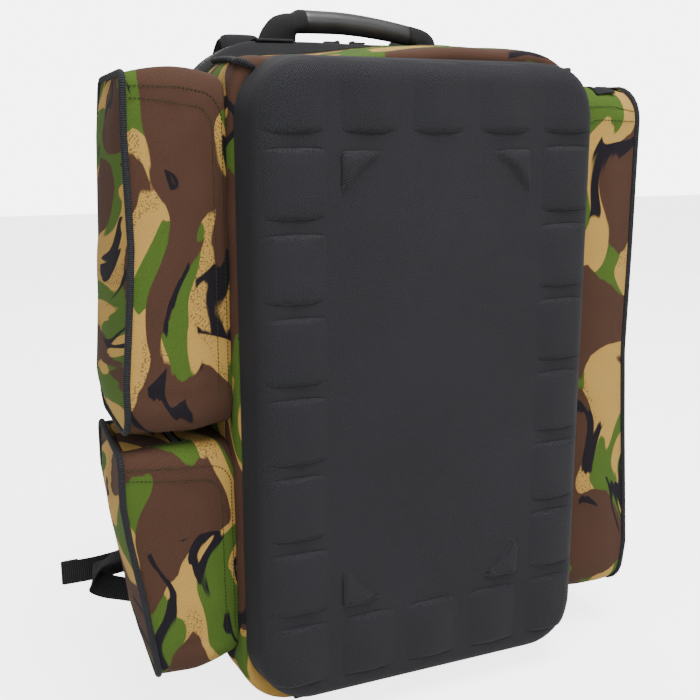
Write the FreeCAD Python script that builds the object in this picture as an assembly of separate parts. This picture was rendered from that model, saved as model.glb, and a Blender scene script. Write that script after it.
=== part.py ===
"""Tackle backpack with a moulded front panel, three side pockets and a zipped back door.

Millimetres. The origin is the centre of the base, +Z is up and the moulded panel faces -Y.
Every piece is its own solid and is written to parts/NODE.step.
"""
import FreeCAD
import Part
import math
import os

V = FreeCAD.Vector

# ---- driving dimensions -------------------------------------------------------------------
WALL = 3.0               # fabric with its lining and foam
CLEAR = 0.4              # gap between pieces that move past each other

BODY_HALF = 166.0        # half the width of the main bag
BODY_LOW = 3.0           # underside of the fabric, above the base sheet
FRONT_Y = -80.0          # where the moulded panel is sewn on
FRONT_TOP = 578.0
FRONT_RADIUS = 50.0
REAR_TOP = 590.0
REAR_RADIUS = 74.0
BAND_Y = 28.0            # camouflage cloth ends and the black band begins
TAPE_Y = 66.0            # black band ends and the zip tape begins
SPLIT_Y = 72.0           # line where the two halves of the zip meet
BACK_Y = 104.0           # outer face of the back door

PANEL_HALF = 157.5
PANEL_LOW = 23.0
PANEL_TOP = 570.0
PANEL_RADIUS = 44.0
PANEL_FACE = -118.0
PANEL_WALL = 4.0
PANEL_DRAFT = 3.0
PANEL_EDGE = 12.0
PILLOW_RISE = 3.5
PILLOW_PITCH_X = 63.0
PILLOW_PITCH_Z = 66.7
PILLOW_W = 49.4
PILLOW_H = 54.4
PILLOW_ROWS = 8
PILLOW_FIRST_Z = 40.0
PILLOW_ROUND = 1.6
SPANDREL_LEG = 37.0
FIELD_HALF = 87.0
FIELD_LOW = 108.0
FIELD_TOP = 493.0

HINGE_Z = 84.0           # fold line of the back door
DOOR_LOW = 86.0
BACK_PAD = 12.0

POCKET_X0 = 166.3
POCKET_X1 = 250.0
POCKET_Y0 = -78.0
POCKET_Y1 = 58.0
POCKET_SHRINK = 5.0      # how much the outer face is smaller than the seam on the body
POCKET_TOP_RADIUS = 12.0
POCKET_LOW_RADIUS = 26.0
POCKETS = {              # side, lowest and highest point
    "left_upper": (-1, 266.0, 552.0),
    "left_lower": (-1, 44.0, 248.0),
    "right": (1, 46.0, 548.0),
}
LID_Y0 = -54.0
LID_Y1 = 38.0
LID_INNER = 208.4
LID_OUTER = 246.5
LID_THICK = 2.4
ZIP_LINE = 208.0
TAPE_W = 7.0
PIPING = 4.0
SLIDER_REST_Y = 45.0
SLIDER_PLATE = (10.0, 8.4, 1.4)
SLIDER_LIFT = 0.5
BAR_R = 0.9
EYE_CLEAR = 0.08
BAR_RISE = 2.3
TAB_LEN = 13.0
TAB_W = 6.0
MAIN_SLIDER_X = 8.0

HANDLE_Y = 53.0
HANDLE_FOOT_X = 94.0
HANDLE_PIVOT_Z = 600.0
GRIP_Z = 608.0
GRIP_R = 10.3
GRIP_HALF = 58.0
GRIP_MID_X = 5.0
CORE_R = 6.0

PAD_W = 64.0
PAD_T = 12.0
STRAP_WEB_W = 24.0
STRAP_WEB_T = 1.8
TAIL_T = 2.4
STRAP_LINE = (           # middle of the right padded strap, top to bottom
    (98, 133.6, 571), (102, 139, 540), (112, 143.5, 490), (128, 145, 430), (147, 144, 365),
    (166, 139.5, 300), (182, 132, 240), (193, 123, 190), (200, 114, 150))
LOCK_AT = V(208.5, 101.0, 108.0)
LOCK_TURN = FreeCAD.Rotation(V(0, 1, 0), 14).multiply(FreeCAD.Rotation(V(1, 0, 0), 58))
RING_AT = V(128.5, 155.2, 428.0)
RING_R = 11.4
RING_WIRE = 1.6
ANCHOR = (118, 152, 17, 44)    # stitched patch, x and z range


# ---- small tools --------------------------------------------------------------------------
def box(x0, x1, y0, y1, z0, z1):
    """Block between two corners."""
    return Part.makeBox(x1 - x0, y1 - y0, z1 - z0, V(x0, y0, z0))


def corner_arc(centre, radius, start_deg, place):
    """Quarter circle about centre, counted anticlockwise in the outline's own plane."""
    points = []
    for step in (0, 45, 90):
        angle = math.radians(start_deg + step)
        points.append(place(centre[0] + radius * math.cos(angle), centre[1] + radius * math.sin(angle)))
    return Part.Arc(points[0], points[1], points[2]).toShape()


def outline(place, u0, u1, v0, v1, low_radius, top_radius):
    """Closed rounded rectangle; place(u, v) sets the plane that it lies in."""
    edges = []
    edges.append(Part.makeLine(place(u0 + low_radius, v0), place(u1 - low_radius, v0)))
    edges.append(corner_arc((u1 - low_radius, v0 + low_radius), low_radius, 270, place))
    edges.append(Part.makeLine(place(u1, v0 + low_radius), place(u1, v1 - top_radius)))
    edges.append(corner_arc((u1 - top_radius, v1 - top_radius), top_radius, 0, place))
    edges.append(Part.makeLine(place(u1 - top_radius, v1), place(u0 + top_radius, v1)))
    edges.append(corner_arc((u0 + top_radius, v1 - top_radius), top_radius, 90, place))
    edges.append(Part.makeLine(place(u0, v1 - top_radius), place(u0, v0 + low_radius)))
    edges.append(corner_arc((u0 + low_radius, v0 + low_radius), low_radius, 180, place))
    return Part.Wire(edges)


def front_outline(y, half, low, top, low_radius, top_radius):
    """Rounded rectangle that faces -Y."""
    return outline(lambda u, v: V(u, y, v), -half, half, low, top, low_radius, top_radius)


def side_outline(x, y0, y1, z0, z1, low_radius, top_radius):
    """Rounded rectangle that faces along X."""
    return outline(lambda u, v: V(x, u, v), y0, y1, z0, z1, low_radius, top_radius)


def solid_between(*wires):
    """Solid with straight sides from each outline to the next."""
    return Part.makeLoft(list(wires), True, True)


def joined(shapes):
    """One solid from shapes that overlap."""
    whole = shapes[0].fuse(shapes[1:])
    return whole.removeSplitter()


def ribbon(stations, width, thick):
    """Strip of one width through stations, each a point and the direction of the strip's width."""
    count = len(stations)
    sections = []
    for index, (point, across) in enumerate(stations):
        before = stations[max(index - 1, 0)][0]
        after = stations[min(index + 1, count - 1)][0]
        along = (after - before).normalize()
        side = (across - along * across.dot(along)).normalize()
        out = along.cross(side)
        corners = []
        for s, o in ((-1, -1), (1, -1), (1, 1), (-1, 1)):
            corners.append(point + side * (s * width / 2) + out * (o * thick / 2))
        sections.append(corners)
    return faceted(sections)


def faceted(sections):
    """Solid with flat triangles between four-cornered sections, and a flat cap at each end."""
    faces = []
    for near, far in zip(sections, sections[1:]):
        for k in range(4):
            n = (k + 1) % 4
            faces.append(Part.Face(Part.makePolygon([near[k], near[n], far[n], near[k]])))
            faces.append(Part.Face(Part.makePolygon([near[k], far[n], far[k], near[k]])))
    for cap in (sections[0], sections[-1]):
        faces.append(Part.Face(Part.makePolygon([cap[0], cap[1], cap[2], cap[0]])))
        faces.append(Part.Face(Part.makePolygon([cap[0], cap[2], cap[3], cap[0]])))
    shell = Part.Shell(faces)
    solid = Part.Solid(shell)
    if solid.Volume < 0:
        solid.reverse()
    return solid


def mirrored(shape, side):
    """The piece on its own side: side 1 is the right, side -1 the left."""
    if side > 0:
        return shape
    return shape.mirror(V(0, 0, 0), V(1, 0, 0))


def both_sides(make):
    """Group of two separate solids, one on each side."""
    return Part.makeCompound([make(-1), make(1)])


# ---- main bag -----------------------------------------------------------------------------
def body_outline(y, inset=0.0):
    """Outline of the main bag at depth y; the top rises and the corners open towards the back."""
    share = (y - FRONT_Y) / (TAPE_Y - FRONT_Y)
    share = min(max(share, 0.0), 1.0)
    top = FRONT_TOP + share * (REAR_TOP - FRONT_TOP)
    radius = FRONT_RADIUS + share * (REAR_RADIUS - FRONT_RADIUS)
    return front_outline(y, BODY_HALF - inset, BODY_LOW + inset, top - inset,
                         FRONT_RADIUS - inset, radius - inset)


def body_ring(y0, y1, thick=WALL):
    """Band of the main bag's wall between two depths."""
    outer = solid_between(body_outline(y0), body_outline(y1))
    inner = solid_between(body_outline(y0, thick), body_outline(y1, thick))
    return outer.cut(inner)


def body_block():
    """Whole outer volume in front of the zip, used to trim pieces that lie on it."""
    return solid_between(body_outline(FRONT_Y), body_outline(TAPE_Y))


def body_shell():
    """Camouflage wall with a narrow flange that the moulded panel is sewn to."""
    wall = body_ring(FRONT_Y, BAND_Y)
    flange = solid_between(body_outline(FRONT_Y), body_outline(FRONT_Y + WALL))
    hole = solid_between(
        front_outline(FRONT_Y - 1, PANEL_HALF - 6, PANEL_LOW + 6, PANEL_TOP - 6, 38, 38),
        front_outline(FRONT_Y + 5, PANEL_HALF - 6, PANEL_LOW + 6, PANEL_TOP - 6, 38, 38))
    return joined([wall, flange.cut(hole)])


def kick_panel():
    """Fixed lower part of the back, below the door's fold."""
    slab = solid_between(body_outline(TAPE_Y), body_outline(TAPE_Y + WALL))
    return slab.common(box(-200, 200, 0, 200, 0, HINGE_Z - 2))


def base_sheet():
    """Coated sheet that the bag stands on."""
    reach = BODY_HALF - FRONT_RADIUS
    return box(-reach, reach, FRONT_Y + 4, TAPE_Y - 4, 0, BODY_LOW)


def base_board():
    """Stiff board inside the bottom."""
    reach = BODY_HALF - FRONT_RADIUS
    floor = BODY_LOW + WALL
    return box(-reach, reach, FRONT_Y + 8, TAPE_Y - 2, floor, floor + 3)


def corner_piping(side):
    """Covered cord along the top corner, from the moulded panel to the black band."""
    front = V(side * 151.5, FRONT_Y, 563.0)
    rear = V(side * 146.0, BAND_Y, 566.0)
    along = rear - front
    cord = Part.makeCylinder(2.8, along.Length, front, along)
    return cord.cut(body_block())


# ---- moulded front panel ------------------------------------------------------------------
def panel_outline(y, inset):
    """Outline of the moulded panel at depth y."""
    radius = PANEL_RADIUS - inset
    return front_outline(y, PANEL_HALF - inset, PANEL_LOW + inset, PANEL_TOP - inset, radius, radius)


def pillow(column, row):
    """One raised square of the border."""
    x = (column - 2) * PILLOW_PITCH_X
    z = PILLOW_FIRST_Z + PILLOW_H / 2 + row * PILLOW_PITCH_Z
    block = box(x - PILLOW_W / 2, x + PILLOW_W / 2, PANEL_FACE - PILLOW_RISE, PANEL_FACE + 1,
                z - PILLOW_H / 2, z + PILLOW_H / 2)
    front = [e for e in block.Edges if e.BoundBox.YMax < PANEL_FACE - PILLOW_RISE + 0.1]
    return block.makeChamfer(PILLOW_ROUND, front)


def spandrel(side, z_corner, up):
    """Raised corner of the plain field, with a hollow curved edge."""
    x_corner = side * FIELD_HALF
    corner = V(x_corner, PANEL_FACE + 1, z_corner)
    along = V(x_corner - side * SPANDREL_LEG, PANEL_FACE + 1, z_corner)
    down = V(x_corner, PANEL_FACE + 1, z_corner - up * SPANDREL_LEG)
    bend = V(x_corner - side * SPANDREL_LEG * 0.40, PANEL_FACE + 1, z_corner - up * SPANDREL_LEG * 0.40)
    edges = [Part.makeLine(corner, along), Part.Arc(along, bend, down).toShape(), Part.makeLine(down, corner)]
    return Part.Face(Part.Wire(edges)).extrude(V(0, -1 - PILLOW_RISE * 0.7, 0))


def moulded_panel():
    """Pressed foam tray with a border of raised squares and four raised corners."""
    outer = solid_between(panel_outline(FRONT_Y, 0), panel_outline(PANEL_FACE, PANEL_DRAFT))
    rim = [e for e in outer.Edges if e.BoundBox.YMax < PANEL_FACE + 0.1]
    outer = outer.makeFillet(PANEL_EDGE, rim)
    inner = solid_between(panel_outline(FRONT_Y + 1, PANEL_WALL),
                          panel_outline(PANEL_FACE + PANEL_WALL, PANEL_DRAFT + PANEL_WALL))
    rim = [e for e in inner.Edges if e.BoundBox.YMax < PANEL_FACE + PANEL_WALL + 0.1]
    inner = inner.makeFillet(PANEL_EDGE - PANEL_WALL, rim)
    raised = []
    for row in range(PILLOW_ROWS):
        columns = range(5) if row in (0, PILLOW_ROWS - 1) else (0, 4)
        for column in columns:
            raised.append(pillow(column, row))
    for side in (-1, 1):
        raised.append(spandrel(side, FIELD_TOP, 1))
        raised.append(spandrel(side, FIELD_LOW, -1))
    return joined([outer.cut(inner)] + [piece.common(raised_reach()) for piece in raised])


def raised_reach():
    """Space that the raised pieces may use, just inside the panel's rounded edge."""
    inset = PANEL_DRAFT + PANEL_EDGE - 6.0
    return solid_between(panel_outline(PANEL_FACE - 10, inset), panel_outline(PANEL_FACE + 2, inset))


# ---- zip parts ----------------------------------------------------------------------------
def slider():
    """Zip slider in its own frame: travel along X, the tapes below it, bar for the pull above."""
    length, width, thick = SLIDER_PLATE
    plate = box(-length / 2, length / 2, -width / 2, width / 2, 0, thick)
    bar_z = thick + BAR_RISE
    pieces = [plate]
    for side in (-1, 1):
        inner = side * 2.9
        outer = side * 4.1
        pieces.append(box(-1.6, 1.6, min(inner, outer), max(inner, outer), thick - 0.2, bar_z + 1.2))
    pieces.append(Part.makeCylinder(BAR_R, 7.0, V(0, -3.5, bar_z), V(0, 1, 0)))
    return joined(pieces)


def pull():
    """Pull tab in the slider's frame, lying along +X."""
    bar_z = SLIDER_PLATE[2] + BAR_RISE
    eye = Part.makeCylinder(BAR_R + 1.1, 5.0, V(0, -2.5, bar_z), V(0, 1, 0))
    neck = box(0, 4, -2.5, 2.5, bar_z - 0.8, bar_z + 0.8)
    tab = box(3.5, TAB_LEN, -TAB_W / 2, TAB_W / 2, bar_z - 0.8, bar_z + 0.8)
    hole = Part.makeCylinder(BAR_R + EYE_CLEAR, 6.0, V(0, -3, bar_z), V(0, 1, 0))
    return joined([eye, neck, tab]).cut(hole)


def placed(shape, where, turn_deg):
    """Copy of a piece turned about Z and moved."""
    copy = shape.copy()
    copy.Placement = FreeCAD.Placement(where, FreeCAD.Rotation(V(0, 0, 1), turn_deg))
    return copy


def main_tape(y0, y1, low):
    """Half of the long zip, from low on one side over the top to low on the other."""
    ring = body_ring(y0, y1, 2.0)
    return ring.common(box(-200, 200, y0, y1, low, 700))


# ---- side pockets -------------------------------------------------------------------------
def pocket_outline(x, name, inset):
    """Outline of a pocket where its wall stands at x."""
    low, top = POCKETS[name][1:]
    share = (x - POCKET_X0) / (POCKET_X1 - POCKET_X0)
    shrink = POCKET_SHRINK * share + inset
    radius_top = POCKET_TOP_RADIUS - min(inset, 2.0)
    radius_low = POCKET_LOW_RADIUS - inset
    return side_outline(x, POCKET_Y0 + shrink, POCKET_Y1 - shrink, low + shrink * 1.6, top - inset,
                        radius_low, radius_top)


def lid_space(top):
    """Space in a pocket's top that the lid and the two tapes take."""
    return box(ZIP_LINE - TAPE_W, LID_OUTER + CLEAR, LID_Y0 - CLEAR, LID_Y1 + CLEAR, top - WALL - 1, top + 5)


def pocket_shell(name):
    """Hollow pocket, open along its top for the lid."""
    top = POCKETS[name][2]
    outer = solid_between(pocket_outline(POCKET_X0, name, 0), pocket_outline(POCKET_X1, name, 0))
    inner = solid_between(pocket_outline(POCKET_X0 + WALL, name, WALL),
                          pocket_outline(POCKET_X1 - WALL, name, WALL))
    return outer.cut(inner).cut(lid_space(top))


def pocket_lid(name):
    """Outer half of the pocket's top, hinged along its outer edge."""
    top = POCKETS[name][2]
    return box(LID_INNER + TAPE_W, LID_OUTER, LID_Y0, LID_Y1, top - LID_THICK, top)


def pocket_tape(name, outer_side):
    """Half of a pocket's zip."""
    top = POCKETS[name][2]
    x0 = LID_INNER if outer_side else ZIP_LINE - TAPE_W
    x1 = LID_INNER + TAPE_W if outer_side else ZIP_LINE - CLEAR
    return box(x0, x1, LID_Y0, LID_Y1, top - 2.2, top - 0.4)


def pocket_piping(name):
    """Covered cord round the edge of the pocket's outer face."""
    def ring_outline(x, inset):
        low, top = POCKETS[name][1:]
        shrink = POCKET_SHRINK + inset
        return side_outline(x, POCKET_Y0 + shrink, POCKET_Y1 - shrink, low + POCKET_SHRINK * 1.6 + inset,
                            top - inset, POCKET_LOW_RADIUS - inset, POCKET_TOP_RADIUS - inset)
    x0 = POCKET_X1
    x1 = POCKET_X1 + PIPING
    outer = solid_between(ring_outline(x0, 0), ring_outline(x1, 1))
    inner = solid_between(ring_outline(x0 - 1, PIPING), ring_outline(x1 + 1, PIPING))
    return outer.cut(inner)


# ---- carrying handle ----------------------------------------------------------------------
def handle_foot(side):
    """Webbing stub that stands on the black band, with the stitched patch below it."""
    x = side * HANDLE_FOOT_X
    patch = box(x - 20, x + 20, HANDLE_Y - 11, HANDLE_Y + 11, 575, 591)
    stub = box(x - 4, x + 4, HANDLE_Y - 9, HANDLE_Y + 9, 575, HANDLE_PIVOT_Z - 8)
    return joined([patch, stub]).cut(body_block())


def handle_cuff(side):
    """Folded webbing from the stub up to the end of the grip."""
    end_x = GRIP_MID_X + side * GRIP_HALF
    sections = []
    for x, z, tilt_deg, wide, thick in (
            (side * HANDLE_FOOT_X, HANDLE_PIVOT_Z - 2.0, 90, 11, 8),
            (side * (HANDLE_FOOT_X - 5), HANDLE_PIVOT_Z + 5.0, 60, 20, 11),
            (end_x + side * 16, GRIP_Z - 2.0, 25, 20, 15),
            (end_x + side * 0.2, GRIP_Z, 0, 18, 18)):
        tilt = math.radians(tilt_deg)
        out = V(side * math.sin(tilt), 0, math.cos(tilt))
        corners = []
        for s, o in ((-1, -1), (1, -1), (1, 1), (-1, 1)):
            corners.append(V(x, HANDLE_Y, z) + V(0, s * wide / 2, 0) + out * (o * thick / 2))
        sections.append(corners)
    return faceted(sections)


def grip_rod(radius, length):
    """Round rod along the grip."""
    start = V(GRIP_MID_X - length / 2, HANDLE_Y, GRIP_Z)
    return Part.makeCylinder(radius, length, start, V(1, 0, 0))


def handle_grip():
    """Rubber tube round the folded webbing."""
    return grip_rod(GRIP_R, 2 * GRIP_HALF).cut(grip_rod(CORE_R, 2 * GRIP_HALF + 2))


# ---- back door and harness ----------------------------------------------------------------
def door_block(y0, y1, inset):
    """Volume of the back door between two depths."""
    whole = solid_between(
        front_outline(y0, BODY_HALF - inset, BODY_LOW, REAR_TOP - inset, FRONT_RADIUS, REAR_RADIUS - inset),
        front_outline(y1, BODY_HALF - inset - 3, BODY_LOW, REAR_TOP - inset - 3, FRONT_RADIUS,
                      REAR_RADIUS - inset))
    return whole.common(box(-200, 200, y0, y1, DOOR_LOW + inset, 700))


def back_door():
    """Shallow black tray that closes the back of the bag."""
    return door_block(SPLIT_Y + 5, BACK_Y, 0).cut(door_block(SPLIT_Y + 4, BACK_Y - WALL, WALL))


def back_board():
    """Stiff sheet inside the door."""
    return door_block(BACK_Y - WALL - 3, BACK_Y - WALL, WALL + 4)


def soft_pad(x0, x1, z0, z1, thick):
    """Foam pad on the outside of the door."""
    block = box(x0, x1, BACK_Y, BACK_Y + thick, z0, z1)
    front = [e for e in block.Edges if e.BoundBox.YMin > BACK_Y + thick - 0.1]
    return block.makeFillet(thick * 0.4, front)


def strap_root():
    """Top of the right shoulder strap, sewn to the door and folded over."""
    across = V(1, 0, 0)
    stations = []
    for x, y, z in ((93, 110.3, 545), (94, 110.3, 580), (94.5, 113, 592), (95, 119, 596.5), (95.5, 126, 594),
                    (96, 130.5, 586)):
        stations.append((V(x, y, z), across))
    return ribbon(stations, PAD_W - 8, PAD_T)


def shoulder_pad():
    """Padded part of the right shoulder strap, bowed away from the back."""
    stations = [(V(*point), V(1, 0, 0.25)) for point in STRAP_LINE]
    return ribbon(stations, PAD_W, PAD_T)


def pad_webbing():
    """Webbing sewn down the outer face of the strap, ending at the ladder lock."""
    lift = PAD_T / 2 + STRAP_WEB_T / 2
    stations = []
    for x, y, z in STRAP_LINE[2:]:
        stations.append((V(x, y + lift, z), V(1, 0, 0.25)))
    stations.append((V(202.8, 113.5, 132), V(1, 0, 0.25)))
    stations.append((V(204.6, 109.6, 123), V(1, 0, 0.25)))
    web = ribbon(stations, STRAP_WEB_W, STRAP_WEB_T)
    return web.cut(shoulder_pad())


def ladder_lock():
    """Buckle with three bars that grips the adjusting webbing."""
    frame = box(-17, 17, -11, 11, -2, 2)
    for y in (-5, 5):
        frame = frame.cut(box(-13, 13, y - 2.6, y + 2.6, -3, 3))
    lip = box(-14, 14, -15, -10.5, -1.2, 0.8)
    buckle = joined([frame, lip])
    buckle.Placement = FreeCAD.Placement(LOCK_AT, LOCK_TURN)
    return buckle


def lower_webbing():
    """Adjusting webbing from the ladder lock, out in a turned loop and back to the lower corner."""
    stations = (
        (V(213, 79, 106), V(0.0, 1.0, 0.0)),
        (V(228, 79, 104), V(0.0, 1.0, 0.0)),
        (V(243, 80, 100), V(0.1, 1.0, 0.0)),
        (V(256, 82, 94), V(-0.1, 1.0, -0.2)),
        (V(265, 85, 86), V(-0.3, 0.8, 0.5)),
        (V(264, 87, 76), V(0.1, 0.3, 1.0)),
        (V(253, 87, 68), V(0.1, 0.1, 1.0)),
        (V(234, 86, 61), V(0.1, 0.0, 1.0)),
        (V(207, 82, 52), V(0.1, 0.0, 1.0)),
        (V(182, 77.5, 43), V(0.0, 0.0, 1.0)),
        (V(159, 74.2, 35), V(0.0, 0.0, 1.0)),
        (V(132, 73.4, 30), V(0.0, 0.0, 1.0)))
    return ribbon(stations, STRAP_WEB_W, STRAP_WEB_T)


def webbing_tail():
    """Free end of the adjusting webbing, with its end folded over and sewn."""
    stations = (
        (V(225, 100.6, 87.5), V(0.1, 0, 1)),
        (V(240, 102.5, 84.5), V(0.1, 0, 1)),
        (V(262, 105.5, 81), V(0.05, 0, 1)),
        (V(292, 107, 80), V(0, 0, 1)))
    return ribbon(stations, STRAP_WEB_W, TAIL_T)


def anchor_tab(side):
    """Stitched patch that holds the lower end of the webbing."""
    x0, x1, z0, z1 = ANCHOR
    return mirrored(box(x0, x1, TAPE_Y + WALL, TAPE_Y + WALL + 3.3, z0, z1), side)


def d_ring():
    """Ring on the shoulder strap, held by its straight side."""
    reach = RING_R + RING_WIRE
    bar = Part.makeCylinder(RING_WIRE, 2 * reach, RING_AT - V(reach, 0, 0), V(1, 0, 0))
    bow = Part.makeTorus(RING_R, RING_WIRE, RING_AT, V(0, 1, 0))
    x, y, z = RING_AT
    bow = bow.common(box(x - 20, x + 20, y - 5, y + 5, z - 20, z))
    return joined([bar, bow])


# ---- list of pieces -----------------------------------------------------------------------
def all_parts():
    """Every piece by its node name."""
    parts = {
        "body_shell": body_shell(),
        "zip_gusset": body_ring(BAND_Y, TAPE_Y),
        "kick_panel": kick_panel(),
        "base_sheet": base_sheet(),
        "base_board": base_board(),
        "moulded_front_panel": moulded_panel(),
        "main_zip_front_tape": main_tape(TAPE_Y, SPLIT_Y - CLEAR, HINGE_Z),
        "main_zip_back_tape": main_tape(SPLIT_Y + CLEAR, SPLIT_Y + 5, DOOR_LOW),
        "back_door": back_door(),
        "back_board": back_board(),
        "lumbar_pad": soft_pad(-120, 120, 104, 214, BACK_PAD),
        "corner_piping": both_sides(corner_piping),
        "anchor_tabs": both_sides(anchor_tab),
        "handle_feet": both_sides(handle_foot),
        "handle_core": grip_rod(CORE_R, 2 * GRIP_HALF),
        "handle_grip": handle_grip(),
    }
    lift = SLIDER_LIFT
    for side, word in ((-1, "left"), (1, "right")):
        parts[word + "_handle_cuff"] = handle_cuff(side)
        parts[word + "_back_pad"] = soft_pad(*sorted((side * 16, side * 128)), 232, 540, BACK_PAD)
        parts[word + "_strap_root"] = mirrored(strap_root(), side)
        parts[word + "_shoulder_pad"] = mirrored(shoulder_pad(), side)
        parts[word + "_pad_webbing"] = mirrored(pad_webbing(), side)
        parts[word + "_ladder_lock"] = mirrored(ladder_lock(), side)
        parts[word + "_lower_webbing"] = mirrored(lower_webbing(), side)
        parts[word + "_webbing_tail"] = mirrored(webbing_tail(), side)
        parts[word + "_d_ring"] = mirrored(d_ring(), side)
        spot = V(side * MAIN_SLIDER_X, SPLIT_Y, REAR_TOP + lift)
        turn = 0 if side > 0 else 180
        parts[word + "_main_slider"] = placed(slider(), spot, turn)
        parts[word + "_main_pull"] = placed(pull(), spot, turn)
    for name, (side, low, top) in POCKETS.items():
        parts[name + "_pocket"] = mirrored(pocket_shell(name), side)
        parts[name + "_pocket_lid"] = mirrored(pocket_lid(name), side)
        parts[name + "_pocket_piping"] = mirrored(pocket_piping(name), side)
        parts[name + "_inner_tape"] = mirrored(pocket_tape(name, False), side)
        parts[name + "_outer_tape"] = mirrored(pocket_tape(name, True), side)
        spot = V(side * ZIP_LINE, SLIDER_REST_Y, top + lift)
        parts[name + "_slider"] = placed(slider(), spot, 90)
        parts[name + "_pull"] = placed(pull(), spot, 90)
    return parts


def write_parts():
    """Write one STEP file per piece and print what each one is."""
    os.makedirs("parts", exist_ok=True)
    for name, shape in all_parts().items():
        solids = shape.Solids
        if len(solids) == 1:
            shape = solids[0]
        shape.exportStep("parts/" + name + ".step")
        size = shape.BoundBox
        print("%-26s %d solid  valid %s  %8.1f cm3  x %.0f..%.0f  y %.0f..%.0f  z %.0f..%.0f" % (
            name, len(solids), shape.isValid(), shape.Volume / 1000, size.XMin, size.XMax,
            size.YMin, size.YMax, size.ZMin, size.ZMax))


write_parts()
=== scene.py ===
import math
import bpy
import numpy as np
from mathutils import Matrix, Vector, noise


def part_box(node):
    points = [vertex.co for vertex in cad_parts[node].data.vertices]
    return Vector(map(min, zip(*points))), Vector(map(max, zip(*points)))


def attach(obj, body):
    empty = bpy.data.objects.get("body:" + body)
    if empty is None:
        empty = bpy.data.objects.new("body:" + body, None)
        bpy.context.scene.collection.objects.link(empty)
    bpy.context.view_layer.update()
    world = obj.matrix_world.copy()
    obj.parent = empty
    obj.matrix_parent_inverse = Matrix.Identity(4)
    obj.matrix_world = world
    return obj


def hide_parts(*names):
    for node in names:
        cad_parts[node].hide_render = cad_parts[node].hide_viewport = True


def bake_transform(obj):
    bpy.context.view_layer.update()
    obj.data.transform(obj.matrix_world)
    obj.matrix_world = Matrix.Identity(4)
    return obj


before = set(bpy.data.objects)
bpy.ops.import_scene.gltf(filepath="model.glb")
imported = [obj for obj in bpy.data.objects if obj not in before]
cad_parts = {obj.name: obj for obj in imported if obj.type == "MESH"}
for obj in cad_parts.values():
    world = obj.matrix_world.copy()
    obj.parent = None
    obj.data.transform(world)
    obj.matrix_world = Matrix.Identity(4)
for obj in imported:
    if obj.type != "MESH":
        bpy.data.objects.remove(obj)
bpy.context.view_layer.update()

MM = 0.001
SIDES = (("left", -1), ("right", 1))
POCKETS = (("left_upper", -1), ("left_lower", -1), ("right", 1))


# ---- places, worked out from the frame ----------------------------------------------------
def lo(node, axis):
    """Lowest coordinate of a node, in millimetres."""
    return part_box(node)[0][axis] / MM


def hi(node, axis):
    """Highest coordinate of a node, in millimetres."""
    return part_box(node)[1][axis] / MM


BODY_HALF = hi("body_shell", 0)
BODY_LOW = lo("body_shell", 2)
FRONT_Y = lo("body_shell", 1)
BAND_Y = hi("body_shell", 1)
TAPE_Y = hi("zip_gusset", 1)
REAR_TOP = hi("zip_gusset", 2)
BACK_Y = hi("back_door", 1)
FRONT_TOP = REAR_TOP - 12.0
FRONT_RADIUS = 50.0
REAR_RADIUS = 74.0
PANEL_HALF = hi("moulded_front_panel", 0)
PANEL_LOW = lo("moulded_front_panel", 2)
PANEL_TOP = hi("moulded_front_panel", 2)
PANEL_MID = (PANEL_LOW + PANEL_TOP) / 2
PANEL_TALL = (PANEL_TOP - PANEL_LOW) / 2
HANDLE_Y = (lo("handle_grip", 1) + hi("handle_grip", 1)) / 2
GRIP_Z = (lo("handle_grip", 2) + hi("handle_grip", 2)) / 2
GRIP_R = (hi("handle_grip", 2) - lo("handle_grip", 2)) / 2
DOOR_LOW = lo("back_door", 2)
SPLIT_Y = (hi("main_zip_front_tape", 1) + lo("main_zip_back_tape", 1)) / 2
KICK_TOP = hi("kick_panel", 2)


# ---- mesh tools ---------------------------------------------------------------------------
def new_piece(name, verts, faces, uvs=None, smooth=True):
    """Mesh object from points in millimetres; uvs are metres, one per vertex."""
    mesh = bpy.data.meshes.new(name)
    mesh.from_pydata([tuple(c * MM for c in v) for v in verts], [], faces)
    if uvs is not None:
        layer = mesh.uv_layers.new(name="cloth")
        for loop in mesh.loops:
            layer.data[loop.index].uv = uvs[loop.vertex_index]
    mesh.validate()
    piece = bpy.data.objects.new(name, mesh)
    bpy.context.scene.collection.objects.link(piece)
    for face in mesh.polygons:
        face.use_smooth = smooth
    return piece


def skin(name, rows, wrap=False, keep=None, uv_shift=(0.0, 0.0)):
    """Sheet through rows of points; keep(i, j) says which cells to fill; uv follows the cloth's length."""
    tall = len(rows)
    wide = len(rows[0])
    across = [0.0] * wide
    for j in range(1, wide):
        step = sum((Vector(rows[i][j]) - Vector(rows[i][j - 1])).length for i in range(tall)) / tall
        across[j] = across[j - 1] + step
    uvs = []
    down = 0.0
    for i in range(tall):
        if i:
            down += sum((Vector(rows[i][j]) - Vector(rows[i - 1][j])).length for j in range(wide)) / wide
        uvs += [(across[j] * MM + uv_shift[0], down * MM + uv_shift[1]) for j in range(wide)]
    faces = []
    for i in range(tall - 1):
        for j in range(wide if wrap else wide - 1):
            if keep is None or keep(i, j):
                n = (j + 1) % wide
                faces.append((i * wide + j, i * wide + n, (i + 1) * wide + n, (i + 1) * wide + j))
    return new_piece(name, [p for row in rows for p in row], faces, uvs)


def grid(tall, wide, point):
    """Rows of points; point(down, across) is given shares from 0 to 1."""
    return [[point(i / tall, j / wide) for j in range(wide + 1)] for i in range(tall + 1)]


def around(count):
    """Angles of count points round a ring."""
    return [2 * math.pi * k / count for k in range(count)]


def rounder(value, power):
    """Cosine or sine bent so that a ring of points becomes squarer."""
    return math.copysign(abs(value) ** power, value)


def close_ends(rows, first, final, share):
    """Add a small ring round the given middle at both ends of a tube."""
    rows.insert(0, [first + (p - first) * share for p in rows[0]])
    rows.append([final + (p - final) * share for p in rows[-1]])


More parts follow.
